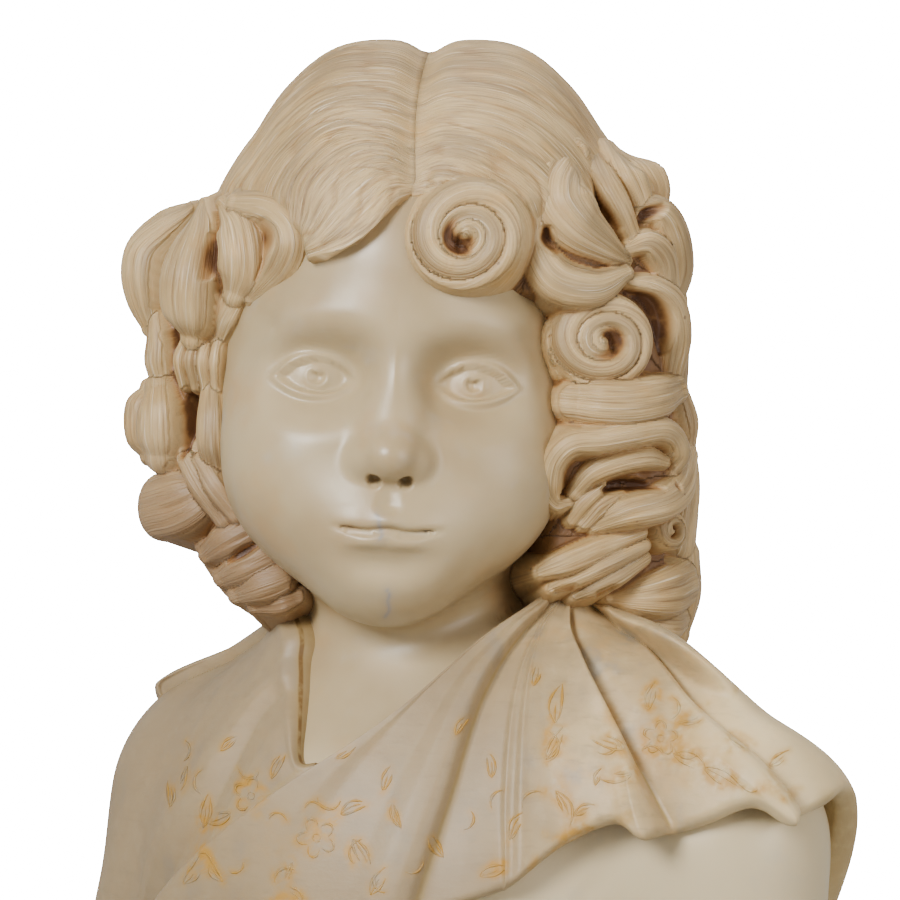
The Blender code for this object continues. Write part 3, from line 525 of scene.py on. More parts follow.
def head_grid(rows, columns):
    """Head and neck as one skin: rays start on a path that runs down through the head and neck, in planes that
    lean forward under the jaw, and each stops where it meets the form, coming from outside."""
    v = np.linspace(0, 1, rows)
    knots = np.array(HEAD_PATH, float)
    ox, oy, oz, rise, lean, reach = (np.interp(v, knots[:, 0], knots[:, i])[:, None] for i in range(1, 7))
    turn = np.linspace(-math.pi, math.pi, columns, endpoint=False)[None]
    turn = turn - 0.62 * np.sin(turn)
    rise, lean = np.radians(rise), np.radians(lean)
    flat, up = np.cos(rise), np.sin(rise)
    way = np.stack([
        flat * np.sin(turn),
        -flat * np.cos(turn) * np.cos(lean) - up * np.sin(lean),
        -flat * np.cos(turn) * np.sin(lean) + up * np.cos(lean),
    ], -1)
    start = np.stack(np.broadcast_arrays(ox, oy, oz, turn)[:3], -1)
    r = np.broadcast_to(reach, way.shape[:2]).copy()
    for _ in range(30):
        r = r - 0.92 * skin_distance(start + r[..., None] * way)
    r = np.minimum(r, np.where(v > 0.85, NECK_LIMIT, 200.0)[:, None])
    return from_head(start + r[..., None] * way)


def near(points, line, reach):
    """1 on a line of points and less with distance: exp(-(d / reach)^2), taken from the nearest place."""
    best = np.full(points.shape[:-1], 1e9)
    for place in line:
        best = np.minimum(best, ((points - place) ** 2).sum(-1))
    return np.exp(-best / reach**2)


VEINS = [[(1, -69), (2, -73), (1, -78)], [(-4, -44), (-2, -48), (-2, -52)]]


CROWN_LEFT = [
    # degrees up from the front, degrees out from the parting, along each strand
    [(27, 0), (23, -4.9), (18, -9), (14, -16.4), (13, -27)],
    [(30, 0), (29, -8), (23, -17), (17.5, -23.5), (15.5, -28)],
    [(33, 0), (34, -12), (28, -22), (21.5, -26.5), (18, -28.5)],
    [(36, 0), (37.7, -14), (32.5, -26), (26, -29), (20, -30)],
    [(38.5, 0), (41, -18), (36, -30), (29, -34.5), (22, -35)],
    [(46, 0), (47, -20), (43.5, -35), (38, -43), (30, -46)],
    [(55, 0), (57, -24), (56, -42), (53, -54), (44, -60)],
    [(66, 0), (70, -24), (72, -44), (72, -60), (64, -71)],
    [(80, 0), (85, -24), (88, -46), (89, -62), (84, -76)],
    [(96, 0), (102, -26), (108, -48), (112, -62), (112, -76)],
    [(118, 0), (126, -26), (134, -46), (140, -60), (146, -70)],
    [(142, 0), (150, -24), (158, -42), (164, -54), (169, -63)],
    [(164, 0), (170, -18), (175, -34), (178, -46), (182, -54)],
    [(182, 0), (184, -12), (186, -25), (189, -38), (194, -46)],
    [(196, 0), (196, -6), (197, -14), (199, -24), (202, -32)],
    [(204, 2), (204, -1), (205, -4), (207, -8), (210, -12)],
]
CROWN_RIGHT = [
    [(26, 0), (26, 3), (26, 6), (27, 9), (27, 11)],
    [(32, 0), (33, 5), (32, 11), (28, 20), (23, 27)],
    [(41, 0), (41, 9), (39, 20), (33, 31), (24, 38)],
    [(50, 0), (51, 13), (49, 28), (42, 41), (32, 48)],
    [(62, 0), (63, 17), (61, 34), (54, 50), (42, 59)],
    [(78, 0), (80, 20), (79, 40), (75, 56), (66, 68)],
    [(96, 0), (100, 20), (103, 40), (106, 56), (106, 70)],
    [(118, 0), (124, 24), (131, 44), (137, 58), (142, 68)],
    [(142, 0), (150, 24), (158, 42), (164, 54), (169, 63)],
    [(164, 0), (170, 18), (175, 34), (178, 46), (182, 54)],
    [(182, 0), (184, 12), (186, 25), (189, 38), (194, 46)],
    [(196, 0), (196, 6), (197, 14), (199, 24), (202, 32)],
    [(204, -2), (204, 1), (205, 4), (207, 8), (210, 12)],
]
CROWN_EDGE = 5.0


def crown_grid(guides, side, across, along, seed):
    """The combed hair of one side on an ellipsoid, from the parting to where the locks begin. Strands cut it
    lengthwise, each half swells into a lobe, and its rim is rounded: 1 - sqrt(1 - t^2) over the last part."""
    span = len(guides) - 1
    even = np.linspace(0, 1, across)
    at = span * (0.62 * even + 0.38 * even**2)
    s = 1 - (1 - np.linspace(0, 1, along)) ** 1.35
    angles = loft([[(u, v, 0.0) for u, v in strand] for strand in guides], at, 120)
    index = s * 119
    k = np.minimum(index.astype(int), 118)
    part = (index - k)[None, :, None]
    angles = angles[:, k] * (1 - part) + angles[:, k + 1] * part
    u, v = np.radians(angles[..., 0]), np.radians(angles[..., 1])
    way = np.stack([np.sin(v), -np.cos(v) * np.cos(u), np.cos(v) * np.sin(u)], -1)
    row, t = at[:, None], s[None]
    coarse = strand_cuts(row * 1.0, 2.2 * t, seed, 4, 2.0)
    fine = strand_cuts(row * 1.0, 3.0 * t, seed + 1, 13, 2.6)
    fade = smooth(6 * t)
    aside = np.degrees(np.abs(v))
    lobe = 4.6 * np.exp(-(((aside - 21) / 13) ** 2)) - 2.4 * smooth((aside - 34) / 14)
    lift = lobe * np.abs(np.sin(u)) - 4.3 * np.exp(-((aside / 4.2) ** 2))
    lift = lift - (0.75 * coarse + 0.28 * fine) * fade
    if side < 0:
        swath = smooth((row - 3.3) / -0.35)
        lift = lift + swath * fade * (1.6 - 0.25 * row) - 1.6 * smooth((30 - np.degrees(u)) / 10)
        sink = smooth((row - 3.2) / 0.5)
    else:
        sink = np.ones_like(row)
    over = np.clip((t - 0.93) / 0.07, 0, 1)
    rim = CROWN_EDGE * (1 - np.sqrt(np.maximum(1 - over**2, 0)))
    lift = lift - np.where(sink > 0.5, 5.0 * sink * smooth((t - 0.80) / 0.2), rim)
    outer = CROWN_CENTRE + way * (CROWN_RADII + lift[..., None])
    inner = CROWN_CENTRE + way * (CROWN_RADII - 12.0)
    bend = 4.5 * smooth((85 - np.degrees(u)) / 45) * np.exp(-((aside / 30) ** 2))
    outer[..., 0] -= bend
    inner[..., 0] -= bend
    inner[:, 0, 0] -= 4 * side
    outer[:, 0, 0] -= 1 * side
    length = 100.0
    flow = np.stack(np.broadcast_arrays(row * 17.0, t * length, float(seed * 13)), -1)
    # How dark the cut lines and the parting's groove are made: partly dirt in the cuts, partly painted shade.
    mark = np.clip(0.7 * coarse + 0.45 * fine, 0, 1) * fade
    mark = np.maximum(mark, 0.35 * np.exp(-((aside / 1.8) ** 2)))
    ring = np.concatenate([outer, inner[:, ::-4]], 1)
    pad = inner[:, ::-4].shape[1]
    flow = np.concatenate([flow, np.repeat(flow[:, -1:], pad, 1)], 1)
    mark = np.pad(mark, ((0, 0), (0, pad)))
    if side > 0:
        ring, flow, mark = ring[::-1], flow[::-1], mark[::-1]
    return ring, flow, mark


SPINE = 46.0
ARC = 70.0
ROUND = 4 * SPINE + 2 * math.pi * ARC
CORE_RINGS = [
    # height, half width, half depth and centre y of the mass inside the hair
    (118, 30, 28, 46), (130, 44, 38, 44), (146, 57, 47, 38), (172, 74, 59, 30), (205, 82, 70, 26),
    (240, 80, 72, 22), (268, 72, 66, 18), (292, 58, 54, 14), (306, 40, 38, 12),
]


def skin_length(t, reach):
    """Length round the hair at a reach from its spine, from the front's middle to the place t: the straight parts
    keep their length, and the turns round the spine's ends have theirs times reach / ARC."""
    half = 2 * SPINE + math.pi * ARC
    a = np.abs(t)
    b = np.where(a > half, 2 * half - a, a)

    def part(a):
        turned_part = np.clip(a - SPINE, 0, math.pi * ARC) * reach / ARC
        return np.minimum(a, SPINE) + turned_part + np.maximum(a - SPINE - math.pi * ARC, 0)

    return np.sign(t) * np.where(a > half, 2 * part(half) - part(b), part(b))


def unroll(x, y):
    """Where a place lies round the hair's spine, a short line across the head, and how far out from it."""
    x, y = x - HAIR_AXIS[0], y - HAIR_AXIS[1]
    a = np.abs(x)
    straight = np.where(y < 0, a, 2 * SPINE + math.pi * ARC - a)
    t = np.where(a > SPINE, SPINE + ARC * np.arctan2(a - SPINE, -y), straight)
    return np.where(x < 0, -t, t), np.where(a > SPINE, np.hypot(a - SPINE, y), np.abs(y))


def spine_ray(t):
    """Start and direction of the ray that leaves the spine at the place t."""
    t = (t + ROUND / 2) % ROUND - ROUND / 2
    a = np.abs(t)
    turn = np.clip(a - SPINE, 0, math.pi * ARC) / ARC
    start = np.where(turn < math.pi, np.minimum(a, SPINE), 2 * SPINE + math.pi * ARC - a)
    return np.sign(t) * start, np.sign(t) * np.sin(turn), -np.cos(turn)


def roll(t, reach, z):
    """The point at a place round the spine, a reach and a height."""
    start, dx, dy = spine_ray(t)
    return np.stack(np.broadcast_arrays(HAIR_AXIS[0] + start + reach * dx, HAIR_AXIS[1] + reach * dy, z), -1)


def core_reach(t, z):
    """How far the mass inside the hair reaches along each ray: where the ray leaves that height's ellipse."""
    knots = np.array(CORE_RINGS, float)
    a, b, cy = (np.interp(z, knots[:, 0], knots[:, i])[:, None] for i in (1, 2, 3))
    start, dx, dy = (v[None] for v in spine_ray(t))
    c = cy - HAIR_AXIS[1]
    p = dx**2 / a**2 + dy**2 / b**2
    q = start * dx / a**2 - c * dy / b**2
    left = start**2 / a**2 + c**2 / b**2 - 1
    reach = (np.sqrt(np.maximum(q * q - p * left, 0)) - q) / p
    return np.where(left < 0, np.maximum(reach, 3.0), 3.0)


def slide(a, steps, axis, best):
    """The largest or smallest value within so many cells on one axis."""
    out = a.copy()
    size = a.shape[axis]
    for step in range(1, steps + 1):
        low, high = [slice(None)] * 2, [slice(None)] * 2
        low[axis], high[axis] = slice(0, size - step), slice(step, size)
        low, high = tuple(low), tuple(high)
        out[low] = best(out[low], a[high])
        out[high] = best(out[high], a[low])
    return out


def soften(a, times):
    """A running mean over three cells on both axes, so many times."""
    for _ in range(times):
        for axis in (0, 1):
            pad = np.pad(a, [(1, 1) if axis == i else (0, 0) for i in (0, 1)], "edge")
            pad = pad if axis == 0 else pad.T
            a = (pad[:-2] + 2 * pad[1:-1] + pad[2:]) / 4
            a = a if axis == 0 else a.T
    return a


def chisel(angle, s, seed, count, half_wide, deep):
    """Depth of chiselled lines along a lock: exp(-((angle - place) / width)^2) for each line, whose place drifts
    along the lock, and which starts and stops where it likes."""
    rng = np.random.default_rng(seed)
    total = np.zeros(np.shape(angle))
    for number in range(count):
        place = -1.45 + 2.9 * (number + rng.uniform(0.1, 0.9)) / count
        drift, sway, bend = rng.uniform(-0.35, 0.35), rng.uniform(0.02, 0.12), rng.uniform(0, 6.28)
        start, stop, cut = rng.uniform(-0.4, 0.35), rng.uniform(0.65, 1.4), rng.uniform(0.35, 1.0)
        middle = place + drift * (s - 0.5) + sway * np.sin(5 * s + bend)
        off = (angle - middle + math.pi) % (2 * math.pi) - math.pi
        window = smooth((s - start) / 0.25) * smooth((stop - s) / 0.25)
        total = np.maximum(total, cut * window * np.exp(-((off / half_wide) ** 2)))
    return deep * total


class Relief:
    """Carved hair as a map: how far it reaches out from the spine at each height and place round it."""

    def __init__(self, low, high, columns, rows, deep):
        self.t = np.linspace(low, high, columns)
        self.z = np.linspace(HAIR_LOW, HAIR_HIGH, rows)
        self.core = core_reach(self.t, self.z)
        self.reach = self.core + 0.0
        self.flow = np.stack(np.broadcast_arrays(self.t[None], self.z[:, None], 0.0), -1).copy()
        self.mark = np.zeros(self.reach.shape)
        self.dirt_and_shade = np.zeros(self.reach.shape)
        self.deep = deep

    def window(self, rows):
        """Places, reaches and the part of the map that a path of this many mm half width touches."""
        t, out = unroll(rows[:, 0], rows[:, 1])
        if self.t[-1] > ROUND / 2:
            t = np.where(t < 0, t + ROUND, t)
        pad = rows[:, 3].max() + 9
        i = slice(*np.searchsorted(self.z, (rows[:, 2].min() - pad, rows[:, 2].max() + pad)))
        j = slice(*np.searchsorted(self.t, (t.min() - pad, t.max() + pad)))
        return t, out, i, j

    def measure(self, rows):
        """For the cells near a path: distance across it, beyond its ends, and how far along it they lie."""
        t, out, i, j = self.window(rows)
        if i.stop <= i.start or j.stop <= j.start:
            return None
        side = skin_length(self.t[None, j], out[:, None]) - skin_length(t, out)[:, None]
        rise = self.z[None, i] - rows[:, 2:3]
        k = (side[:, None, :] ** 2 + rise[:, :, None] ** 2).argmin(0)
        r, c = np.indices(k.shape)
        scale = skin_length(t + 0.5, out) - skin_length(t - 0.5, out)
        ahead = np.stack([np.gradient(t) * scale, np.gradient(rows[:, 2])])
        step = np.maximum(np.hypot(*ahead), 1e-6)
        ahead = ahead / step
        dx, dz = side[k, c], rise[k, r]
        along = dx * ahead[0][k] + dz * ahead[1][k]
        across = dx * ahead[1][k] - dz * ahead[0][k]
        last = len(rows) - 1
        beyond = np.where((k == 0) & (along < 0) | (k == last) & (along > 0), np.abs(along), 0.0)
        place = np.clip(k + np.where(beyond > 0, 0.0, along / step[k]), 0, last)
        values = [np.interp(place, np.arange(last + 1), v) for v in (out, rows[:, 3], rows[:, 4])]
        return i, j, across, beyond, place / last, step.sum(), *values

    def press(self, path, seed, full=2.1, winds=0.0, lines=1.0, fillet=0.8):
        """Adds a lock: over its width the surface stands h (1 - |d / w|^full)^(1 / full) off its path, and beyond
        it falls away steeply. Where two locks meet, the further one shows, with a small fillet."""
        rows = spline(path, max(24, int(len(path) * 14)))
        found = self.measure(rows)
        if found is None:
            return
        i, j, across, beyond, s, length, out, wide, high = found
        d = np.hypot(across, beyond)
        dome = (1 - np.clip(d / wide, 0, 1) ** full) ** (1 / full)
        angle = np.arcsin(np.clip(across / wide, -1, 1)) + 2 * math.pi * winds * s
        size = rows[:, 3].max()
        edge = smooth(1.6 * dome)
        coarse = chisel(angle, s, seed, max(1, round(0.24 * size * lines)), max(0.12, 0.9 / size), 1.0) * edge
        fine = chisel(angle, s, seed + 1, max(3, round(1.5 * size * lines)), max(0.06, 0.55 / size), 1.0) * edge
        top = out + high * dome - 3.2 * np.maximum(d - wide, 0)
        top = top - self.deep * (0.075 * size * coarse + 0.3 * fine)
        if winds:
            top = top - 0.24 * size * (0.5 + 0.5 * np.cos(angle)) ** 6
        flow = (angle * size, s * length, float(seed % 97) * 7)
        # The chiselled lines are marked to be darkened: partly dirt in the cuts, partly painted shade.
        self.join(i, j, top, fillet, flow, np.maximum(0.6 * coarse, 0.4 * fine))

    def curl(self, centre, radius, high, start, hand, hollow, seed):
        """Adds a curl seen end on: a dome cut by a spiral groove on u = ln(R / r) / 0.68 less the share of a turn, so
        that each ring is half as wide as the one round it, and sunk on one side of its middle."""
        t0, out = (float(v[0]) for v in unroll(np.array([centre[0]]), np.array([centre[1]])))
        i = slice(*np.searchsorted(self.z, (centre[2] - radius - 6, centre[2] + radius + 6)))
        j = slice(*np.searchsorted(self.t, (t0 - radius - 12, t0 + radius + 12)))
        if i.stop <= i.start or j.stop <= j.start:
            return
        dx = (skin_length(self.t[j], out) - skin_length(t0, out))[None]
        dz = self.z[i, None] - centre[2]
        r = np.hypot(dx, dz) + 0.02
        r = r * (1 + 0.04 * np.cos(np.arctan2(dz, dx) * 2 + seed))
        phi = np.arctan2(dz, dx) - math.radians(start)
        u = np.log(radius / r) / 0.68 - hand * phi / (2 * math.pi)
        ring = np.floor(u)
        f = u - ring
        along = phi + hand * 2 * math.pi * ring
        pitch = 0.49 * r
        dome = np.sqrt(1 - np.abs(2 * f - 1) ** 2.6)
        cuts = strand_cuts(2 * math.pi * f, 0.6 * along, seed, 3, 0.8) * smooth((r - 2) / 4)
        fine = strand_cuts(2 * math.pi * f, 0.9 * along, seed + 1, 7, 1.0) * smooth((r - 2) / 4)
        depth = (0.3 * pitch + 0.5) * smooth((r / radius - 0.16) / 0.22)
        turn_in = 0.5 + 0.5 * np.cos(np.arctan2(dz, dx) - math.radians(hollow) + 5 * (r / radius - 0.25))
        funnel = 4.4 * turn_in**1.5 * smooth((0.46 - r / radius) / 0.16) * smooth(r / radius / 0.12)
        body = high * np.sqrt(1 - np.clip(r / radius, 0, 1) ** 6) - 0.1 * high * np.exp(-((r / 0.5 / radius) ** 2))
        top = out + body + depth * (dome - 1) - 3.4 * np.maximum(r - radius, 0)
        top = top - funnel - self.deep * (0.26 * cuts + 0.1 * fine)
        flow = (f * pitch * 2.2, along * 7.0, float(seed))
        # The cuts and the spiral groove are marked to be darkened, and below, the sunk middle too: partly dirt,
        # partly painted shade in the recesses.
        self.join(i, j, top, 1.0, flow, np.maximum(0.4 * cuts, 0.75 * (1 - dome) ** 2))
        self.dirt_and_shade[i, j] = np.maximum(self.dirt_and_shade[i, j], np.clip(funnel / 3.2 - 0.15, 0, 1))

    def join(self, i, j, top, fillet, flow, mark):
        """Keeps the further of the map and a new form, and its strands."""
        old = self.reach[i, j]
        h = np.maximum(fillet - np.abs(old - top), 0) / fillet
        wins = top > old
        self.reach[i, j] = np.maximum(old, top) + h * h * fillet / 4
        self.flow[i, j][wins] = np.stack(np.broadcast_arrays(*flow), -1)[wins]
        self.mark[i, j] = np.where(wins, mark, self.mark[i, j])

    def drill(self, path):
        """Sinks a hollow along a path by so many mm, with steep sides, and keeps how much it is darkened: partly the
        dirt that fills it, partly painted shade.
        """
        rows = spline(path, 40)
        found = self.measure(rows)
        if found is None:
            return
        i, j, across, beyond, _, _, _, wide, deep = found
        sunk = 1 - smooth((np.hypot(across, beyond) / wide - 0.4) / 0.9)
        smoothed = soften(self.reach[i, j], 4)
        self.reach[i, j] += (smoothed - self.reach[i, j]) * smooth(2 * sunk) - deep * sunk
        self.dirt_and_shade[i, j] = np.maximum(self.dirt_and_shade[i, j], sunk * np.minimum(1, deep / 3.5))

    def close(self, gap):
        """Fills what lies deeper than a gap below the locks round it, and gives how deep each place then lies."""
        steps = [max(1, round(7.5 / abs(a[1] - a[0]))) for a in (self.z, self.t)]
        over = self.reach
        for best in (np.maximum, np.minimum):
            for axis in (0, 1):
                over = slide(over, steps[axis], axis, best)
        over = soften(over, 6)
        self.reach = np.maximum(self.reach, over - gap)
        fade = (smooth((self.z - HAIR_LOW - 1) / 9) * smooth((HAIR_HIGH - 0.5 - self.z) / 7))[:, None]
        self.reach = self.core + (self.reach - self.core) * fade
        return over

    def surface(self, body, over):
        """Adds the map as a closed wall, darkened in its deep parts and in its narrow creases: partly dirt, partly
        painted shade.
        """
        points = roll(self.t[None], self.reach, self.z[:, None])
        # How far each place lies below its softened surroundings and below the envelope of the locks round it: the
        # deeper, the darker the stone, partly as dirt and partly as painted shade.
        crease = np.clip((soften(self.reach, 8) - self.reach) / 1.1, 0, 1)
        stain = np.maximum(smooth((over - self.reach - 2.8) / 5.5), 0.4 * crease)
        stain = np.maximum(stain, self.dirt_and_shade)
        few = np.arange(len(self.t) - 1, -1, -8)
        inner = roll(self.t[None, few], 0.55 * self.core[:, few], self.z[:, None])
        pad = len(few)
        ring = np.concatenate([points, inner], 1)
        flow = np.concatenate([self.flow, np.zeros((len(self.z), pad, 3))], 1)
        groove = np.pad(np.maximum(self.mark, 0.6 * crease), ((0, 0), (0, pad)))
        steep = np.hypot(np.gradient(self.reach, self.z, axis=0), np.gradient(self.reach, self.t, axis=1))
        wall = soften(slide(smooth((steep - 1.8) / 1.5), 1, 1, np.maximum), 1)
        extra = {"stain": np.pad(stain, ((0, 0), (0, pad))), "wall": np.pad(wall, ((0, 0), (0, pad)))}
        body.add(ring, flow=flow, groove=groove, **extra)


HAIR_LOW, HAIR_HIGH = 114.0, 308.0

LEFT_LOCKS = [
    # x, y, z, half width and height off its path, along each lock
    [(-93.7, -8, 277.7, 3, 6), (-101.3, -6, 272.3, 7, 9), (-108.2, -6, 264.7, 9, 10.5),
     (-110.3, -6, 255.1, 9.2, 10.5), (-109.6, -6, 244.8, 7.5, 9), (-108.2, -6, 236.5, 4, 6)],
    [(-90.1, -18, 278.9, 2.5, 5), (-91.3, -28, 269.9, 6.5, 8.5), (-93.8, -33, 258.2, 9.4, 11),
     (-94.8, -33, 247.4, 10, 11.5), (-94.6, -31, 238.6, 8.8, 10),
     (-93.8, -27, 233, 5, 6)],
    [(-83.9, -28, 278.1, 3, 5), (-79.4, -38, 271.5, 7.5, 8), (-77.5, -42, 261.9, 8.5, 9),
     (-77.6, -41, 253.2, 8, 8.5), (-79.4, -38, 247.2, 5, 6)],
    [(-79.4, -38, 277.6, 4, 5), (-70.2, -50, 275.7, 5.5, 6), (-63.3, -57, 270.7, 6.4, 7),
     (-60.8, -59.5, 262.9, 6.8, 7.5), (-63.6, -56, 255.1, 6.6, 7),
     (-69.6, -48, 248.9, 4.2, 5), (-74.5, -42, 245.1, 2.5, 3)],
    [(-78.8, -36, 247.3, 5, 6), (-83, -32, 239.3, 6, 7), (-85.2, -28, 232.6, 4, 5)],
    [(-106, -8, 241.3, 4, 6), (-104.9, -10, 232.3, 5.2, 7.5), (-104.9, -10, 224.7, 5.8, 8),
     (-104.2, -10, 216.5, 4.5, 6)],
    [(-95.8, -20, 232.8, 2.2, 5), (-97.4, -22, 225.2, 2.6, 6.5), (-96.5, -20, 216.4, 2.2, 5)],
    [(-91.9, -23, 233.4, 2.2, 5), (-93.5, -25, 225.2, 2.7, 6.5), (-92.7, -22, 215.7, 2.2, 5)],
    [(-88.1, -25, 233.7, 2.2, 5), (-89.7, -27, 225.1, 2.7, 6.5), (-89.2, -24, 215.3, 2.2, 5)],
    [(-84.3, -27, 234.6, 2.4, 5), (-85.5, -29, 225.1, 2.8, 6.5), (-85.7, -26, 215, 2.2, 5)],
    [(-104.5, -10, 215.5, 6.8, 8), (-104.7, -13, 208.3, 8.6, 10), (-104.7, -13, 198.7, 8.8, 10),
     (-104.4, -12, 192.8, 7, 8)],
    [(-110.4, 8, 216, 4, 5), (-112.8, 8, 211.9, 5.5, 7), (-113.5, 8, 204.9, 6, 7.5),
     (-112.8, 8, 197.3, 5.5, 7), (-110.4, 8, 192.5, 4, 5)],
    [(-87.2, -23, 215.7, 4.4, 7), (-87, -27, 206.4, 5.4, 8.5), (-87, -27, 196.2, 5.6, 8.5),
     (-86.5, -23, 189.1, 4.8, 6)],
    [(-104.8, -6, 175, 12.2, 9.2), (-99, -12, 176.7, 12.6, 10), (-93.3, -16, 179.5, 11, 9),
     (-88.4, -18, 182.9, 6, 5)],
    [(-96.5, -20, 191.8, 3.5, 5), (-91.2, -23, 181.9, 4.4, 6), (-84.1, -23, 170.7, 3.5, 5)],
    [(-91.2, -23, 190.5, 3.8, 5), (-86, -26, 181.6, 4.7, 6), (-79.9, -26, 172.8, 3.8, 5)],
    [(-90.5, -9, 162.3, 4.5, 5), (-85.4, -9, 156.1, 6, 6), (-79.2, -10, 147.9, 6, 6),
     (-72.2, -12, 142.5, 4.5, 5)],
    [(-88.7, -12, 158.9, 4.5, 6), (-82.9, -19, 163.5, 6.8, 8.5), (-76, -22, 168, 6, 7),
     (-71.9, -22, 170, 3, 4)],
    [(-83.8, -13, 151.1, 4.5, 6), (-77.4, -20, 155, 6.8, 8.5), (-68.5, -22, 160.1, 6, 7),
     (-64.4, -20, 161.5, 3, 4)],
    [(-79, -13, 145.2, 4.5, 6), (-72.6, -20, 148.2, 7, 9), (-63.7, -22, 152, 6.5, 7.5),
     (-59.7, -20, 153.3, 3, 4)],
    [(-73.5, -14, 141.5, 4, 5), (-65.8, -19, 143, 5.8, 7.5), (-59.7, -20, 144.7, 4, 5)],
]
RIGHT_LOCKS = [
    [(33.4, -40, 293.7, 6.6, 4), (31.2, -48, 290.6, 9.6, 6.5), (28.7, -54, 284.9, 11.4, 8.5),
     (28.9, -57, 277.4, 11.6, 9.2),
     (34.7, -56, 269.1, 10, 9), (43.2, -49, 263, 6.6, 6.5), (51.5, -42, 258.2, 2, 3)],
    [(26.6, -40, 295.8, 4, 4), (21.7, -50, 286.5, 4.6, 5.5), (19.6, -58, 274, 5, 6.5),
     (20.9, -60, 261.9, 6.4, 7.5), (27.6, -59, 251.3, 8, 9),
     (39.7, -53, 248.8, 7, 8), (50.8, -44, 254.1, 3, 4)],
    [(39.8, 0, 304.9, 4, 2), (40.8, -26, 295.9, 5, 4), (43.4, -41, 286.3, 5, 6.2),
     (48.1, -44, 276, 4.8, 6.5), (52.9, -40, 265.4, 3.5, 5)],
    [(41.4, 8, 306.1, 4, 2), (45.5, -16, 297.8, 5.5, 5), (50.5, -33, 289.4, 6, 7),
     (54.5, -34, 280.5, 5.5, 6.5), (56.5, -33, 271.8, 4, 5)],
    [(42.3, 14, 306.5, 5, 3), (47.5, -7, 298, 6.5, 4.5), (55, -18, 292.2, 7.6, 7.6),
     (58.7, -20, 284.6, 7.4, 8.5), (59.7, -22, 277, 6, 6.5)],
    [(55.1, -37, 274.3, 3, 4), (61.3, -34, 275.4, 5.5, 6.5), (65.3, -26, 268, 7.5, 8),
     (66.3, -18, 256.7, 8.5, 9), (64.3, -16, 245.8, 7, 8)],
    [(51.5, -43, 262.6, 3, 4), (57.7, -39, 264.4, 5, 5.5), (62.3, -33, 259.6, 6, 6.5),
     (63.9, -28, 250.2, 5.5, 6.5)],
    [(50.2, -42, 251.8, 2.5, 4), (58.5, -36, 249.3, 5, 7), (64.2, -28, 243.5, 7, 8.5),
     (65.8, -22, 232.7, 7.4, 9), (64.5, -20, 220.5, 6, 7.5)],
    [(31.2, -46, 237.6, 6, 5), (29.2, -47, 230.8, 7, 6), (31.2, -46, 222.8, 6, 5)],
    [(33.8, -48, 210.7, 7.6, 7.5), (41.2, -50, 210, 8.4, 9), (50.7, -47, 210, 8.6, 9.5),
     (60.4, -38, 212.1, 8, 9.5), (66.5, -22, 215, 6, 7)],
    [(31.2, -44, 176.7, 2.5, 3.5), (27.8, -46, 176.4, 3.5, 4.5), (25.4, -49, 181.1, 4.2, 5.5),
     (26.7, -54, 190.5, 4.6, 6.5), (32.3, -56, 196.6, 4.8, 7),
     (42.4, -54, 197.9, 4.8, 7), (52.6, -48, 199.9, 4.8, 7), (61.4, -40, 201.3, 5, 7),
         (65.7, -32, 198.6, 5, 7), (67.3, -28, 192.5, 5, 7),
     (64.9, -28, 187.1, 3.5, 5)],
    [(33.9, -44, 180.4, 3, 4), (39.2, -48, 186.5, 4.2, 5.5), (47.6, -47, 190.2, 4.4, 6),
     (56.9, -41, 191.9, 4.4, 6), (63.3, -34, 190.5, 3, 4)],
    [(32.7, -40, 170.9, 3, 4.5), (37.3, -43, 177, 3.4, 5), (42.7, -44, 181.8, 2.5, 4)],
    [(36.7, -40, 169.6, 3, 4.5), (42.1, -42, 175.7, 3.6, 5), (48.9, -40, 179.7, 2.5, 4)],
    [(40.2, -38, 168.9, 3.5, 5), (50.2, -41, 173.3, 6, 7.5), (61.6, -34, 176.6, 7, 9),
     (67.5, -22, 182.3, 7, 9), (69.8, -8, 192.5, 5, 8)],
    [(55.3, -30, 166.7, 3, 5), (42.9, -37, 162.1, 4.6, 6), (31.3, -41, 156.8, 4.8, 6),
     (22.6, -39, 153.4, 3, 4)],
    [(56.7, -29, 162.3, 3, 4.5), (44.9, -36, 157, 4.4, 5.5), (34.1, -38, 151.7, 4, 5),
     (26, -36, 147.6, 2.5, 3.5)],
    [(56.8, -26, 157.8, 3, 4.5), (47.1, -33, 151.9, 4.4, 5.5), (38.9, -34, 147.2, 3.5, 4.5),
     (34.2, -32, 144.7, 2, 3)],
    [(45.4, -22, 144.1, 3, 4), (54.9, -22, 144.5, 7, 8), (62.7, -14, 145.9, 10, 10.5),
     (67.4, 0, 148.3, 10, 10.5)],
    [(57.2, -14, 136.4, 5, 7), (63, -8, 135.8, 8.5, 9.5), (66.2, 4, 136.5, 7, 9)],
    [(65, 8, 246.5, 7, 9.5), (65.7, 8, 229.2, 7, 9.5), (66.4, 8, 213.3, 6, 8)],
    [(68.7, -2, 214.5, 4, 6), (71.5, 0, 204.9, 5, 6.5), (72.2, 0, 195.9, 3, 5)],
    [(68.9, 2, 194.6, 6, 8.5), (69.7, 4, 180.7, 7, 9), (67.6, 4, 161.7, 8, 9.5)],
    [(69.7, 6, 157.9, 7, 9), (70.2, 8, 144, 8, 9), (67.5, 10, 131.4, 6, 8)],
]
CURLS = [
    # centre, radius, how far it stands out, degrees where it starts, hand, and degrees where its middle is hollow
    ((-2.5, -76, 265.3), 19.7, 7.0, 120, 1, 222),
    ((42.6, -48, 231.2), 17.6, 7.5, 150, 1, 350),
    ((65.4, -24, 167.3), 7.4, 5.5, 150, 1, 350),
]
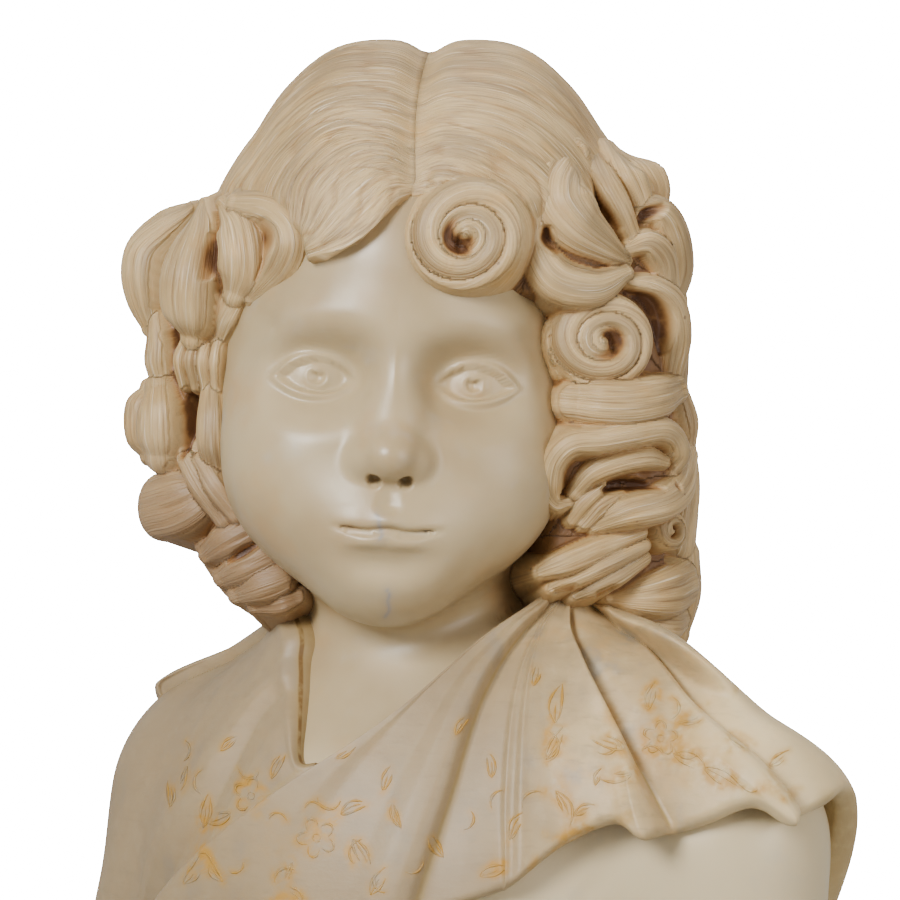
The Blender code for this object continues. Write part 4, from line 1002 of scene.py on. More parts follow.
HOLLOWS = [
    # x, y, z, half width and depth along each drilled hollow
    [(-4.5, -77, 264.6, 1.3, 1.6), (-4.2, -77, 261.6, 1.9, 2.6), (-2.2, -77, 259.6, 1.3, 1.6)],
    [(46.2, -50, 231.8, 1.3, 1.6), (47.2, -50, 229.1, 1.8, 2.8)],
    [(24.2, -60, 267.6, 1.6, 3.5), (24.5, -60, 264.6, 2.2, 5), (27.6, -60, 260.6, 1.4, 2)],
    [(35, -40, 295.1, 1.4, 3), (37.3, -44, 285.4, 2, 5), (42, -46, 276.6, 2, 4.5),
     (47.4, -44, 269.3, 1.2, 2)],
    [(54.4, -36, 272.3, 1.8, 2), (57.1, -36, 274.3, 2.4, 4), (60.6, -34, 276.5, 1.6, 2)],
    [(50.3, -38, 247.9, 1.2, 2), (58.2, -34, 244.6, 2.2, 5), (62.4, -30, 238, 2.6, 5.5),
     (63.5, -28, 227.8, 1.2, 2)],
    [(43.4, -42, 181.1, 1.4, 3), (50.2, -40, 183.1, 1.9, 5), (59.2, -34, 181.7, 1.2, 2)],
    [(64.5, -30, 189.5, 1.2, 2), (64.8, -30, 188.8, 1.2, 2)],
    [(65.5, -30, 182.3, 1.2, 2), (65.8, -30, 181.7, 1.2, 2)],
    [(28, -36, 146.9, 0.9, 1.5), (32.8, -36, 147.9, 1.2, 2)],
    [(41, -31, 145.7, 1, 2), (45.1, -31, 147.8, 1, 2)],
    [(-93.3, -16, 275.9, 1.6, 2), (-100.9, -20, 263.1, 1.9, 3.2), (-104.6, -22, 250.4, 1.7, 2.6),
     (-106.8, -18, 240.3, 1.2, 1.5)],
    [(-100.9, -14, 234.3, 1.6, 3), (-99.1, -16, 231.5, 2.4, 6), (-98.8, -16, 226.7, 1.6, 3)],
    [(-95.1, -20, 210.9, 2.6, 7), (-95.1, -20, 202.1, 2.4, 6.5), (-95.6, -18, 193.2, 1.9, 4)],
    [(-86, -34, 267, 1.6, 2), (-85.9, -35, 260.9, 2.8, 3.2), (-86.7, -34, 252.8, 1.6, 2)],
    [(-70.3, -46, 271.2, 1.6, 1.4), (-68.6, -47, 265.8, 2.6, 2.2), (-69.7, -46, 260.4, 1.6, 1.4)],
    [(-81.8, -20, 156.3, 1, 2), (-76.6, -22, 159.8, 1.5, 3.5), (-71.2, -22, 163.5, 1, 2)],
]
BACK_TURNS = range(62, 302, 17)


def back_ringlet(degrees):
    """The path of a ringlet that hangs behind the head, at so far round from the front."""
    turn = math.radians(degrees)
    side = abs(math.sin(turn))
    rows = []
    for z, out, wide in ((268, 70, 5), (236, 79, 11), (200, 82, 12.5), (163, 79, 12.5), (140, 71, 9),
        (130, 66, 4)):
        left = max(0.0, -math.sin(turn))
        z += (16 * side - 26 * left) * (z - 130) / 138
        out -= 20 * left**1.5 * float(smooth((200 - z) / 60))
        z += 12 * left * float(smooth((190 - z) / 50))
        rows.append((-21 + math.sin(turn) * out, 24 - math.cos(turn) * out * 0.9, z, wide, wide * 0.9))
    return rows


def carved_hair(low, high, columns, rows, deep):
    """The map of one stretch of the hair, and the envelope that its dirt and painted shade are measured from."""
    relief = Relief(low, high, columns, rows, deep)
    for number, turn in enumerate(BACK_TURNS):
        relief.press(back_ringlet(turn), 900 + 3 * number, 2.0, 2.6)
    for number, path in enumerate(LEFT_LOCKS + RIGHT_LOCKS):
        relief.press(path, 100 + 7 * number, 2.4)
    for number, curl in enumerate(CURLS):
        relief.curl(*curl, 40 + number)
    over = relief.close(6.5)
    for path in HOLLOWS:
        relief.drill(path)
    return relief, over


def front_guide(lift, *places):
    """A collar fold seen from the front: each place's x and z, settled so far off the torso, all alike or each
    its own."""
    lifts = np.broadcast_to(lift, len(places))
    return [np.append(on_front(torso_distance, x, z, off), off) for (x, _, z), off in zip(places, lifts)]


def back_guide(lift, *places):
    """A collar fold round the back, given by its places in space."""
    lifts = np.broadcast_to(lift, len(places))
    return np.column_stack([settle(np.array(places, float), torso_distance, lifts), lifts])


def lapel_guides():
    """The lapel that goes beneath, from its edge under the other to where it passes round the far shoulder."""
    return [
        front_guide(2, (-52.1, -50, 89.2), (-48, -50, 77.2), (-43, -50, 57), (-38, -50, 31.9)),
        front_guide(3.5, (-57.4, -50, 89.9), (-63.1, -50, 75.1), (-72.9, -50, 53.7), (-79.9, -50, 26.8)),
        front_guide(4.5, (-57.7, -40, 102.8), (-66.8, -40, 92.7), (-85.1, -30, 60.2), (-101.3, -20, 19.9)),
        front_guide(5, (-57.4, -40, 113.6), (-71.2, -40, 104.1), (-93.3, -30, 68.3), (-113.6, -20, 19.9)),
        front_guide(5.5, (-57.6, -20, 122.9), (-75.7, -10, 112.2), (-102.2, 10, 76.6), (-126.4, 30, 17.4)),
        front_guide((6, 3, 4, 10), (-57.6, -20, 132.5), (-81.2, -10, 118.4), (-111.2, 10, 83.5),
            (-133.4, 30, 19.2)),
        back_guide((6, 1.5, 1.5, 12), (-58, 6, 148), (-88, 26, 134), (-122, 50, 92), (-130, 56, 26)),
        back_guide((5, 3, 4, 9), (-52, 18, 150), (-86, 50, 132), (-116, 78, 96), (-124, 84, 30)),
        back_guide(4, (-46, 26, 150), (-76, 64, 130), (-98, 96, 96), (-104, 100, 34)),
    ]


def collar_guides():
    """The collar's folds from its back flap's end on the far shoulder, round the back and over the near shoulder
    in a fan, to the lapel that crosses over the chest."""
    return [
        front_guide((8, 5.5, 5, 5), (-67.2, -20, 138.9), (-80.5, -10, 131.4), (-95.2, 10, 122.7),
            (-109.5, 30, 113.5)),
        back_guide((9, 6.5, 6, 6), (-50, 20, 151), (-74, 40, 142), (-95, 55, 130), (-112, 60, 112)),
        back_guide(8, (-42, 36, 152), (-62, 66, 140), (-82, 90, 112), (-92, 98, 78)),
        back_guide(8, (-24, 47, 152), (-32, 76, 134), (-38, 102, 100), (-42, 108, 54)),
        back_guide(8, (-2, 46, 152), (16, 68, 135), (38, 90, 100), (48, 96, 40)),
        back_guide((8, 9, 7, 8), (12, 36, 152), (50, 34, 136), (94, 30, 104), (122, 22, 22)),
        back_guide((9, 14, 2, 10), (22, 20, 150), (62, 10, 133), (96, -4, 94), (120, -10, 30)),
        front_guide((10, 26, 7, 7), (31.1, -20, 142.4), (68.9, -30, 130.1), (100.8, -40, 102.8),
            (127.8, -45, 80.5)),
        front_guide((9, 13, 13, 11), (30.4, -20, 142), (52.6, -30, 131.4), (84.5, -42, 111),
            (117.5, -48, 80.4)),
        front_guide(9, (29.7, -20, 141.7), (45.1, -30, 132.5), (77.3, -45, 104.4), (105.9, -50, 76.1)),
        front_guide(9, (29, -20, 141.3), (44.4, -30, 130.8), (72.3, -45, 101.7), (100.5, -50, 72.1)),
        front_guide(9, (28.4, -20, 141), (41.6, -35, 123.5), (65, -50, 98.3), (89.6, -60, 78.8)),
        front_guide(9, (27.7, -20, 140.6), (38.8, -38, 122.3), (58.4, -55, 96.9), (76, -65, 75.5)),
        front_guide(9, (27.3, -20, 140.6), (36.1, -40, 121), (50.9, -60, 95.8), (63.5, -70, 71.2)),
        front_guide(9, (27, -20, 140.6), (33.7, -40, 120.3), (46.2, -60, 93.8), (57.9, -70, 68.2)),
        front_guide(9, (26.7, -20, 140.6), (30, -40, 119.7), (38.9, -60, 93.2), (45.9, -70, 73.5)),
        front_guide(9, (26, -20, 140.6), (22.6, -40, 118.3), (24.9, -60, 89.2), (29.3, -70, 66.9)),
        front_guide(9, (25.3, -20, 141), (17.2, -40, 116.3), (14.2, -60, 84.5), (13.1, -70, 54)),
        front_guide(9, (25, -20, 141), (11.8, -40, 114.9), (6.9, -60, 81.2), (6.8, -70, 51.3)),
        front_guide(9, (24.6, -20, 141.3), (3.7, -40, 114.3), (-8.5, -60, 77.8), (-20.4, -70, 41.4)),
        front_guide((9, 10, 10.5, 11), (23.9, -20, 142), (-11.2, -45, 113.8), (-39.1, -60, 72.5),
            (-61.2, -60, 23.1)),
        front_guide((9, 11, 12.5, 13), (23.2, -20, 142.4), (-24.6, -50, 107.3), (-70.5, -60, 76.8),
            (-119.7, -20, 14.4)),
    ]


LAPEL_RELIEF = [
    (0, 0), (1, 1), (2, 1.5), (2.3, 1.2), (2.7, -0.8), (2.95, -1.8), (3.15, 0.2), (3.4, 2.8),
        (3.65, 3.3), (4.1, 2.2), (5, 2),
    (6, 1), (8, 0),
]
COLLAR_RELIEF = [
    # fold number, how far the cloth stands out there
    (0, 0.5), (0.6, 1.5), (1, 1.5), (1.95, 3.5), (2.1, 0), (2.95, 3.5), (3.1, 0), (3.95, 3.5), (4.1, 0),
        (4.95, 3.5),
    (5.1, 0), (6, 1), (7, 0.5), (8, -0.5), (8.8, -2.2), (8.96, -2.5), (9.04, 2.5), (9.25, 5.5),
        (9.6, 6.0), (10.2, 4.6),
    (11, 2.6), (12, 0), (12.8, -2.4), (12.96, -2.8), (13.04, 3.0), (13.25, 6.4), (13.6, 6.8),
        (14.2, 5.4), (15, 3.6),
    (16, 2.2), (16.6, 2.3), (16.85, 2.8), (17.1, 0.9), (17.35, 0.8), (17.55, 1.1), (17.8, -0.7),
        (18.5, -1.8), (18.92, -3.0), (19.0, -2.6), (19.06, 2.0), (19.2, 4.4), (19.45, 4.6), (19.75, 2.6),
    (20, 3.0), (20.25, 3.4), (20.45, 2.0), (20.9, 2.0), (21, 3.0),
]
COLLAR_FLARE = [(0, 0), (5, 0), (6, 0), (6.9, 3.5), (7.2, 2.5), (8, 0), (9, 0), (9.3, 1.5), (9.9, 5), (10.6, 4.5), (11.4, 2), (12, 0.5),
                (13, 0), (13.3, 2), (13.9, 5.5), (14.6, 5), (15.4, 3), (16, 1), (17, 0), (21, 0)]


def ease(at, relief):
    """The relief at so many folds along: straight between its knots, and then a mean over a short stretch."""
    steps = np.linspace(-0.07, 0.07, 17)
    return np.average([np.interp(at + step, *zip(*relief)) for step in steps], 0, 0.07 - 0.9 * np.abs(steps))


def dense(guides, relief, count):
    """Rows at count places over all the folds: even in mm half way down, and closer where the relief is steep."""
    x = np.linspace(0, len(guides) - 1, 2000)
    middle = loft(guides, x, 9)[:, 5, :3]
    steep = np.abs(np.gradient(ease(x, relief), x)) + 0.7 * np.linalg.norm(np.gradient(middle, x, axis=0), axis=1)
    weight = np.cumsum(1 + np.minimum(steep, 45) * 0.18)
    return np.interp(np.linspace(weight[0], weight[-1], count), weight, x)


def cloth_grid(guides, relief, flare, across, along, thickness, edge=1.2):
    """Cloth carved in relief on the torso. Its upper side stands off the torso by the guides' lift and the folds'
    relief, its lower side is sunk, and hem and neck edge are half-round between them."""
    span = len(guides) - 1
    at = dense(guides, relief, across)
    v = np.linspace(0, 1, along) ** 1.3
    fine = loft(guides, at, 300)
    k = np.minimum((v * 299).astype(int), 298)
    part = (v * 299 - k)[None, :, None]
    grid = fine[:, k] * (1 - part) + fine[:, k + 1] * part
    height = ease(at, relief)[:, None]
    open_hem = np.interp(at, *zip(*flare))[:, None]
    hem = smooth((v - 0.55) / 0.45)[None]
    roll = edge * np.exp(-(((v - 0.035) / 0.03) ** 2))[None]
    rise = np.sqrt(1 - (1 - np.clip(v / 0.045, 0, 1)) ** 2)
    lift = (grid[..., 3] + 1) * (0.45 + 0.55 * smooth(v / 0.16))[None] + height * np.minimum(1, 2.4 * v + 0.2)[None]
    lift = (lift + open_hem * hem + roll) * rise[None] - 1.0
    ends = np.minimum(at, span - at)[:, None] / 0.12
    lift = lift - 4.0 * (1 - np.sqrt(np.clip(1 - np.clip(1 - ends, 0, 1) ** 2, 0, 1)))
    upper = settle(grid[..., :3], torso_distance, lift)
    pull = np.exp(-((v / 0.12) ** 2))[None, :, None]
    wanted = grid[:, :1, :3] - upper[:, :1]
    wanted[..., 1] = 0
    upper = upper + wanted * pull
    few = np.linspace(along - 1, 0, 14).astype(int)
    gap = np.minimum(1, open_hem / 5) * hem
    low = -1.5 + gap[:, few] * np.maximum(lift[:, few] - thickness, 0)
    lower = settle(upper[:, few], torso_distance, low)

    def half_round(start, end, out, count):
        a = np.linspace(0, math.pi, count + 2)[1:-1][None, :, None]
        middle, half = (start + end) / 2, (start - end) / 2
        size = np.linalg.norm(half, axis=-1, keepdims=True)
        return middle[:, None] + half[:, None] * np.cos(a) + (out * np.minimum(size, 3.0))[:, None] * np.sin(a)

    out = unit(upper[:, -1] - upper[:, -4])
    rim = half_round(upper[:, -1], lower[:, 0], out, 8)
    back = unit(upper[:, 0] - upper[:, 3])
    neck = half_round(lower[:, -1], upper[:, 0], back * 0.5, 4)
    return np.concatenate([upper, rim, lower, neck], 1), at, v, lift


FLOWERS = [
    # x, z, size in mm and turn in degrees of the small open flowers
    (-75, 78, 6, 10), (-52, 66, 6.5, 40), (62, 99, 5.5, 15), (-108, 102, 5, 0), (30, 62, 5, 50),
]
LEAVES = [
    # x, z, length and turn in degrees of the pointed leaves
    (27, 104, 13, 78), (24, 92, 12, 62), (27, 82, 13, -70), (33, 74, 9, 20), (50, 96, 12, 165),
        (58, 108, 10, 70),
    (68, 104, 13, 25), (66, 94, 13, -28), (76, 90, 15, -30), (52, 88, 11, 190), (84, 100, 11, -20),
        (98, 90, 9, 35),
    (88, 114, 8, 60), (-68, 84, 10, 60), (-82, 72, 10, 205), (-44, 74, 10, 20), (-40, 66, 12, -60),
        (-60, 58, 11, 250),
    (-30, 82, 9, 70), (-24, 70, 9, 110), (-46, 92, 8, 30), (-86, 92, 8, 40), (-98, 86, 11, 250),
        (-92, 66, 12, 80),
    (-104, 72, 10, 100), (-98, 48, 12, 60), (-84, 50, 9, 120), (-70, 42, 11, 30), (-56, 44, 10, 150),
        (-34, 48, 11, 60),
    (6, 86, 9, 100), (12, 66, 11, 60), (2, 54, 10, 20), (-10, 60, 10, 120), (18, 52, 9, 70),
        (-116, 92, 8, 100),
    (-104, 112, 9, 50), (20, 116, 8, 75), (-6, 100, 8, 50), (40, 84, 7, 60), (46, 70, 9, 40),
        (102, 80, 7, 20),
]
HOOKS = [
    # x, z, radius, degrees from and to of the short curved cuts between them
    (-75, 88, 5, 200, 320), (-66, 70, 4, 20, 150), (-47, 80, 5, 190, 330), (-54, 74, 4, 30, 140),
        (-36, 60, 6, 100, 210),
    (-20, 60, 5, 240, 350), (-90, 80, 6, 110, 220), (-102, 92, 5, 300, 400), (22, 98, 7, 290, 400),
        (20, 76, 6, 60, 170),
    (58, 92, 5, 20, 130), (72, 98, 6, 200, 300), (64, 110, 5, 290, 400), (44, 100, 6, 240, 330),
        (86, 94, 5, 30, 120),
    (10, 76, 6, 90, 180), (-4, 74, 5, 280, 380), (-62, 50, 6, 60, 170), (-80, 58, 5, 250, 340),
        (-112, 84, 5, 60, 160),
    (28, 70, 5, 200, 310), (36, 66, 4, 20, 120), (-28, 52, 5, 150, 250), (92, 86, 4, 200, 300),
        (-92, 56, 4, 0, 100),
]
PATCHES = [
    # x, z and size of the ochre clouds round them
    (64, 97, 11), (80, 89, 9), (52, 90, 7), (28, 84, 7), (26, 98, 6), (46, 106, 5), (-66, 62, 9),
        (-90, 62, 9), (-48, 70, 7),
    (-98, 100, 8), (60, 112, 5), (98, 84, 5), (-40, 60, 7), (10, 60, 7), (-78, 40, 10), (-76, 80, 5),
        (-30, 76, 5),
    (-60, 40, 9), (34, 70, 6), (-108, 86, 7),
]


def sprig_strokes():
    """The incised lines as rows of places (x, z) and half widths: petals r = size (0.5 + 0.5 |cos 2.5 t|) in five
    separate arcs, leaves between two arcs of sines, and hooks on circles."""
    strokes = []
    t = np.linspace(0, 1, 22)
    rng = np.random.default_rng(21)
    for x, z, size, turn in FLOWERS:
        for petal in range(5):
            a = math.radians(turn + 72 * petal) + np.linspace(-0.52, 0.52, 22)
            r = size * (0.45 + 0.55 * np.cos(2.5 * np.linspace(-0.52, 0.52, 22)))
            strokes.append((x + r * np.cos(a), z + r * np.sin(a), 0.38))
        a = 2 * math.pi * t
        strokes.append((x + 0.2 * size * np.cos(a), z + 0.2 * size * np.sin(a), 0.24))
    for x, z, length, turn in LEAVES:
        c, s = math.cos(math.radians(turn)), math.sin(math.radians(turn))
        bend = rng.uniform(-0.12, 0.12)
        for swell, share in ((rng.uniform(0.13, 0.2), rng.uniform(0.75, 1.0)), (0.0, rng.uniform(0.4, 0.8)),
                             (-rng.uniform(0.1, 0.18), rng.uniform(0.45, 1.0))):
            along = length * share * t
            aside = length * (swell * np.sin(math.pi * share * t**0.8) + bend * np.sin(math.pi * share * t))
            strokes.append((x + along * c - aside * s, z + along * s + aside * c, 0.42 if swell else 0.3))
    for x, z, radius, start, stop in HOOKS:
        a = np.radians(start + (stop - start) * t)
        r = radius * (1 - 0.35 * t**2)
        strokes.append((x + r * np.cos(a), z + r * np.sin(a), 0.42))
    return strokes


def refine(grid, times_finer):
    """A grid with so many times more rows and columns, straight between its own points."""
    for axis in (0, 1):
        last = grid.shape[axis] - 1
        at = np.linspace(0, last, last * times_finer + 1)
        i = np.minimum(at.astype(int), last - 1)
        share = (at - i).reshape((-1, 1, 1) if axis == 0 else (1, -1, 1))
        grid = np.take(grid, i, axis) * (1 - share) + np.take(grid, i + 1, axis) * share
    return grid


class Ground:
    """How far forward the cloth lies behind each x and z, kept as a map with cells of 0.4 mm."""

    def __init__(self, grids):
        self.low, self.cell = np.array([-150.0, 15.0]), 0.4
        self.map = np.full((750, 400), 1e9)
        for grid in grids:
            p = refine(grid, 4).reshape(-1, 3)
            i, k = np.round((p[:, [0, 2]] - self.low) / self.cell).astype(int).T
            inside = (i >= 0) & (k >= 0) & (i < 750) & (k < 400)
            np.minimum.at(self.map, (i[inside], k[inside]), p[inside, 1])
        for axis in (0, 1):
            self.map = np.where(self.map > 1e8, slide(self.map, 1, axis, np.minimum), self.map)

    def __call__(self, x, z):
        """The cloth's y at places, between the four cells round each."""
        u, w = (x - self.low[0]) / self.cell, (z - self.low[1]) / self.cell
        i, k = np.clip(u.astype(int), 0, 748), np.clip(w.astype(int), 0, 398)
        a, b = u - i, w - k
        m = self.map
        near_side = m[i, k] * (1 - b) + m[i, k + 1] * b
        return near_side * (1 - a) + (m[i + 1, k] * (1 - b) + m[i + 1, k + 1] * b) * a


def ribbon(x, z, half, ground):
    """A cut line as a thin lens on the cloth: its half width is half (sin pi s)^0.6, and its top lies 0.1 mm off."""
    s = np.linspace(0.03, 0.97, len(x))
    ahead = unit(np.stack([np.gradient(x), np.gradient(z)], 1))
    wide = half * np.sin(math.pi * s) ** 0.6 * (1 + 0.25 * np.sin(9 * s + x[0]))
    rows = []
    for side, off in ((1, 0.03), (0, -0.12), (-1, 0.03), (0, 0.7)):
        px, pz = x - side * wide * ahead[:, 1], z + side * wide * ahead[:, 0]
        rows.append(np.stack([px, ground(px, pz) + off, pz], 1))
    grid = np.stack(rows, 1)
    seen = np.abs(np.diff(grid[:, 1, 1])).max(initial=0) < 1.2 and grid[:, 1, 1].max() < 20
    return grid if seen else None


def ochre_clouds(grid):
    """How much ochre lies on each place of the cloth's front: clouds exp(-(d / size)^2) and halos round the cuts."""
    flat = grid[..., [0, 2]]
    cloud = np.zeros(flat.shape[:-1])
    for x, z, size in PATCHES:
        cloud = np.maximum(cloud, np.exp(-((flat[..., 0] - x) ** 2 + (flat[..., 1] - z) ** 2) / size**2))
    halo = np.zeros(flat.shape[:-1])
    for x, z, _ in sprig_strokes():
        stroke = np.stack([x, z], 1)
        inside = ((flat > stroke.min(0) - 5) & (flat < stroke.max(0) + 5)).all(-1)
        if inside.any():
            halo[inside] = np.maximum(halo[inside], near(flat[inside], stroke[::3], 1.7))
    front = smooth((20 - grid[..., 1]) / 30)
    cloud *= 0.26 + 0.32 * smooth((flat[..., 0] - 10) / 20) + 0.65 * halo
    return np.clip(cloud + 0.42 * halo, 0, 1) * front


SLEEVE_FOLD = [(48, 62), (44, 54), (38, 46), (34, 38)]


def torso_grid(rows, columns):
    """Chest and sleeves: rays from an upright axis outwards, stopped where they meet the form from outside."""
    turn = np.linspace(0, 2 * math.pi, columns, endpoint=False)
    height = np.linspace(0, 118, rows)
    z, turn = np.meshgrid(height, turn, indexing="ij")
    lean = z / 150
    start = np.stack([TORSO_AXIS[0] - 6 * lean, TORSO_AXIS[1] - 8 * lean, z], -1)
    way = np.stack([np.cos(turn), np.sin(turn), np.zeros_like(turn)], -1)
    r = np.full(z.shape, 190.0)
    for _ in range(60):
        r = r - 0.9 * (torso_distance(start + r[..., None] * way) + 0.8)
    grid = start + r[..., None] * way
    fold = near(grid[..., [0, 2]], spline([(*p, 0) for p in SLEEVE_FOLD], 40)[:, :2], 2.4) * (grid[..., 1] < 10)
    return grid - (0.9 * fold)[..., None] * way


MATERIALS = {}


def finish(name):
    """The material of that name, made the first time that it is asked for."""
    makers = {"hair": hair_marble, "skin": skin_marble, "cloth": cloth_marble}
    if name not in MATERIALS:
        MATERIALS[name] = makers[name]()
    return MATERIALS[name]


class StoneSizes(bpy.types.PropertyGroup):
    """Sizes of the carving that a user would change."""

    strand_depth: FloatProperty(
        name="Strand depth", description="How deep the chiselled lines in the locks are, against their usual depth",
        default=1.0, min=0.0, max=2.0,
    )
    cloth_thickness: FloatProperty(
        name="Cloth thickness", description="Thickness of the collar's cloth where its hem stands open",
        default=0.005, unit="LENGTH",
    )


class StudioSizes(bpy.types.PropertyGroup):
    """Sizes and colours of the studio that a user would change."""

    distance: FloatProperty(
        name="Camera distance", description="From the camera to the bust's middle", default=1.8, unit="LENGTH",
    )
    frame_width: FloatProperty(
        name="Frame width", description="What the square view takes in at the bust's middle",
        default=0.3105, unit="LENGTH",
    )
    floor_colour: FloatVectorProperty(
        name="Floor colour", description="Colour of the floor", subtype="COLOR", size=4, default=linear("#F4F3F1"),
    )


class BUST_OT_head(bpy.types.Operator):
    """Casts the head and neck as one polished skin."""

    bl_idname = "bust.head"
    bl_label = "Head and Neck"

    def execute(self, context):
        body = Carving()
        grid = head_grid(240, 280)
        stain = near(grid, neck_line(), 1.9)
        local = in_head(grid)
        vein = np.zeros(grid.shape[:2])
        front = smooth((-50 - local[..., 1]) / 8)
        for line in VEINS:
            path = np.array(line, float)
            t = np.linspace(0, len(path) - 1, 60)
            x = np.interp(t, range(len(path)), path[:, 0]) + 0.5 * np.sin(5 * t)
            z = np.interp(t, range(len(path)), path[:, 1])
            d = np.min((local[..., 0, None] - x) ** 2 + (local[..., 2, None] - z) ** 2, -1)
            vein = np.maximum(vein, 0.5 * np.exp(-d / 0.55**2) + 0.18 * np.exp(-d / 2.4**2))
        body.add(grid[::-1], stain=stain[::-1], vein=(vein * front)[::-1])
        body.piece("head_and_neck", finish("skin"))
        return {"FINISHED"}


def neck_line():
    """Places along the neck edge of both halves of the collar."""
    starts = [np.array(g[0][:3]) for g in lapel_guides()[1:6]]
    others = [np.array(g[0][:3]) for g in collar_guides()[-2:]]
    crossing = np.array(collar_guides()[-1])[:, :3]
    line = spline(starts, 60)
    edge = spline(crossing, 80)
    return np.concatenate([line, edge, np.array(others)])


class BUST_OT_crown(bpy.types.Operator):
    """Carves the combed crown in two halves."""

    bl_idname = "bust.crown"
    bl_label = "Combed Crown"

    def execute(self, context):
        body = Carving()
        for guides, side, seed in ((CROWN_LEFT, -1, 5), (CROWN_RIGHT, 1, 9)):
            grid, flow, mark = crown_grid(guides, side, 330, 64, seed)
            body.add(grid, flow=flow, groove=mark, stain=0.0)
        body.piece("crown_hair", finish("hair"))
        return {"FINISHED"}


class BUST_OT_hair(bpy.types.Operator):
    """Carves the locks and curls on both sides of the face, and the plainer ringlets behind."""

    bl_idname = "bust.hair"
    bl_label = "Locks and Curls"

    def execute(self, context):
        deep = context.scene.bust_stone.strand_depth
        stretches = (
            ("left_locks", -FRONT_END, -24.0, 220), ("right_locks", -8.0, FRONT_END, 262),
            ("back_ringlets", FRONT_END, ROUND - FRONT_END, 110),
        )
        for name, low, high, columns in stretches:
            body = Carving()
            relief, over = carved_hair(low, high, columns, 300, deep)
            relief.surface(body, over)
            body.piece(name, finish("hair"))
        return {"FINISHED"}


class BUST_OT_torso(bpy.types.Operator):
    """Casts the chest and the sleeves, flat below."""

    bl_idname = "bust.torso"
    bl_label = "Chest and Sleeves"

    def execute(self, context):
        body = Carving()
        grid = torso_grid(90, 190)
        body.add(grid, stain=0.0, vein=0.0)
        body.piece("chest_and_sleeves", finish("skin"))
        return {"FINISHED"}


class BUST_OT_collar(bpy.types.Operator):
    """Carves the crossed collar, with its pleats, rounded hem and incised sprigs."""

    bl_idname = "bust.collar"
    bl_label = "Pleated Collar"

    def execute(self, context):
        stone = context.scene.bust_stone
        fronts = []
        for name, guides, relief, flare, across, along, neck in (
            ("lower_lapel", lapel_guides(), LAPEL_RELIEF, [(0, 0), (8, 0)], 236, 150, 1.0),
            ("pleated_collar", collar_guides(), COLLAR_RELIEF, COLLAR_FLARE, 470, 160, 0.25),
        ):
            grid, at, v, lift = cloth_grid(
                guides, relief, flare, across, along, stone.cloth_thickness / MM
            )
            fronts.append(grid[:, :along])
            stain = np.zeros(grid.shape[:2])
            # The underside, and the inner half of the rim and of the neck roll, are darkened: painted shade under the
            # cloth.
            stain[:, along + 8 :] = 0.6
            stain[:, along + 4 : along + 8] = 0.2
            # Browner in the valleys of the folds: partly dirt, partly painted shade.
            x = np.linspace(0, at[-1], 3000)
            fold = np.gradient(np.gradient(ease(x, relief), x), x)
            fold = np.convolve(np.clip(fold - 60, 0, 400) / 400, np.ones(3) / 3, "same")
            crease = np.interp(at, x, fold)[:, None] * smooth((v - 0.02) / 0.2)[None]
            # Browner along the neck edge, where the cloth comes down onto the torso.
            edge = np.exp(-(((lift - 0.1) / 0.9) ** 2)) * (v < 0.08) + 0.22 * np.exp(-((v / 0.04) ** 2))
            stain[:, :along] = np.maximum(0.6 * crease, neck * edge)
            if name == "pleated_collar":
                # The collar's outer side low down behind the near arm is darkened: partly dirt, partly painted shade.
                far = smooth((grid[..., 0] - 110) / 8) * smooth((85 - grid[..., 2]) / 7) * (grid[..., 1] < 0)
                stain = np.maximum(stain, 0.65 * far)
            if name == "lower_lapel":
                # The crossing lapel's edge and the back flap's end shade the cloth beneath: painted shade along them.
                for number, much in ((-1, 0.62), (0, 0.5)):
                    seam = spline(np.array(collar_guides()[number])[:, :3], 160)
                    line = near(grid[:, :along, [0, 2]], seam[:, [0, 2]], 1.1)
                    stain[:, :along] = np.maximum(stain[:, :along], much * line)
            body = Carving()
            body.add(grid, stain=stain, ochre=ochre_clouds(grid))
            body.piece(name, finish("cloth"))
        ground = Ground(fronts)
        body = Carving()
        for x, z, half in sprig_strokes():
            cut = ribbon(x, z, half, ground)
            if cut is not None:
                body.add(cut, stain=0.0, ochre=1.0)
        body.piece("incised_sprigs", finish("cloth"))
        return {"FINISHED"}


def lamp(name, place, aim, size, power, colour):
    """A square area light at a place, turned to a point, in metres and watts."""
    data = bpy.data.lights.new(name, "AREA")
    data.size, data.energy, data.color = size, power, linear(colour)[:3]
    obj = bpy.data.objects.new(name, data)
    obj.location = place
    obj.rotation_euler = (Vector(aim) - Vector(place)).to_track_quat("-Z", "Y").to_euler()
    bpy.context.scene.collection.objects.link(obj)


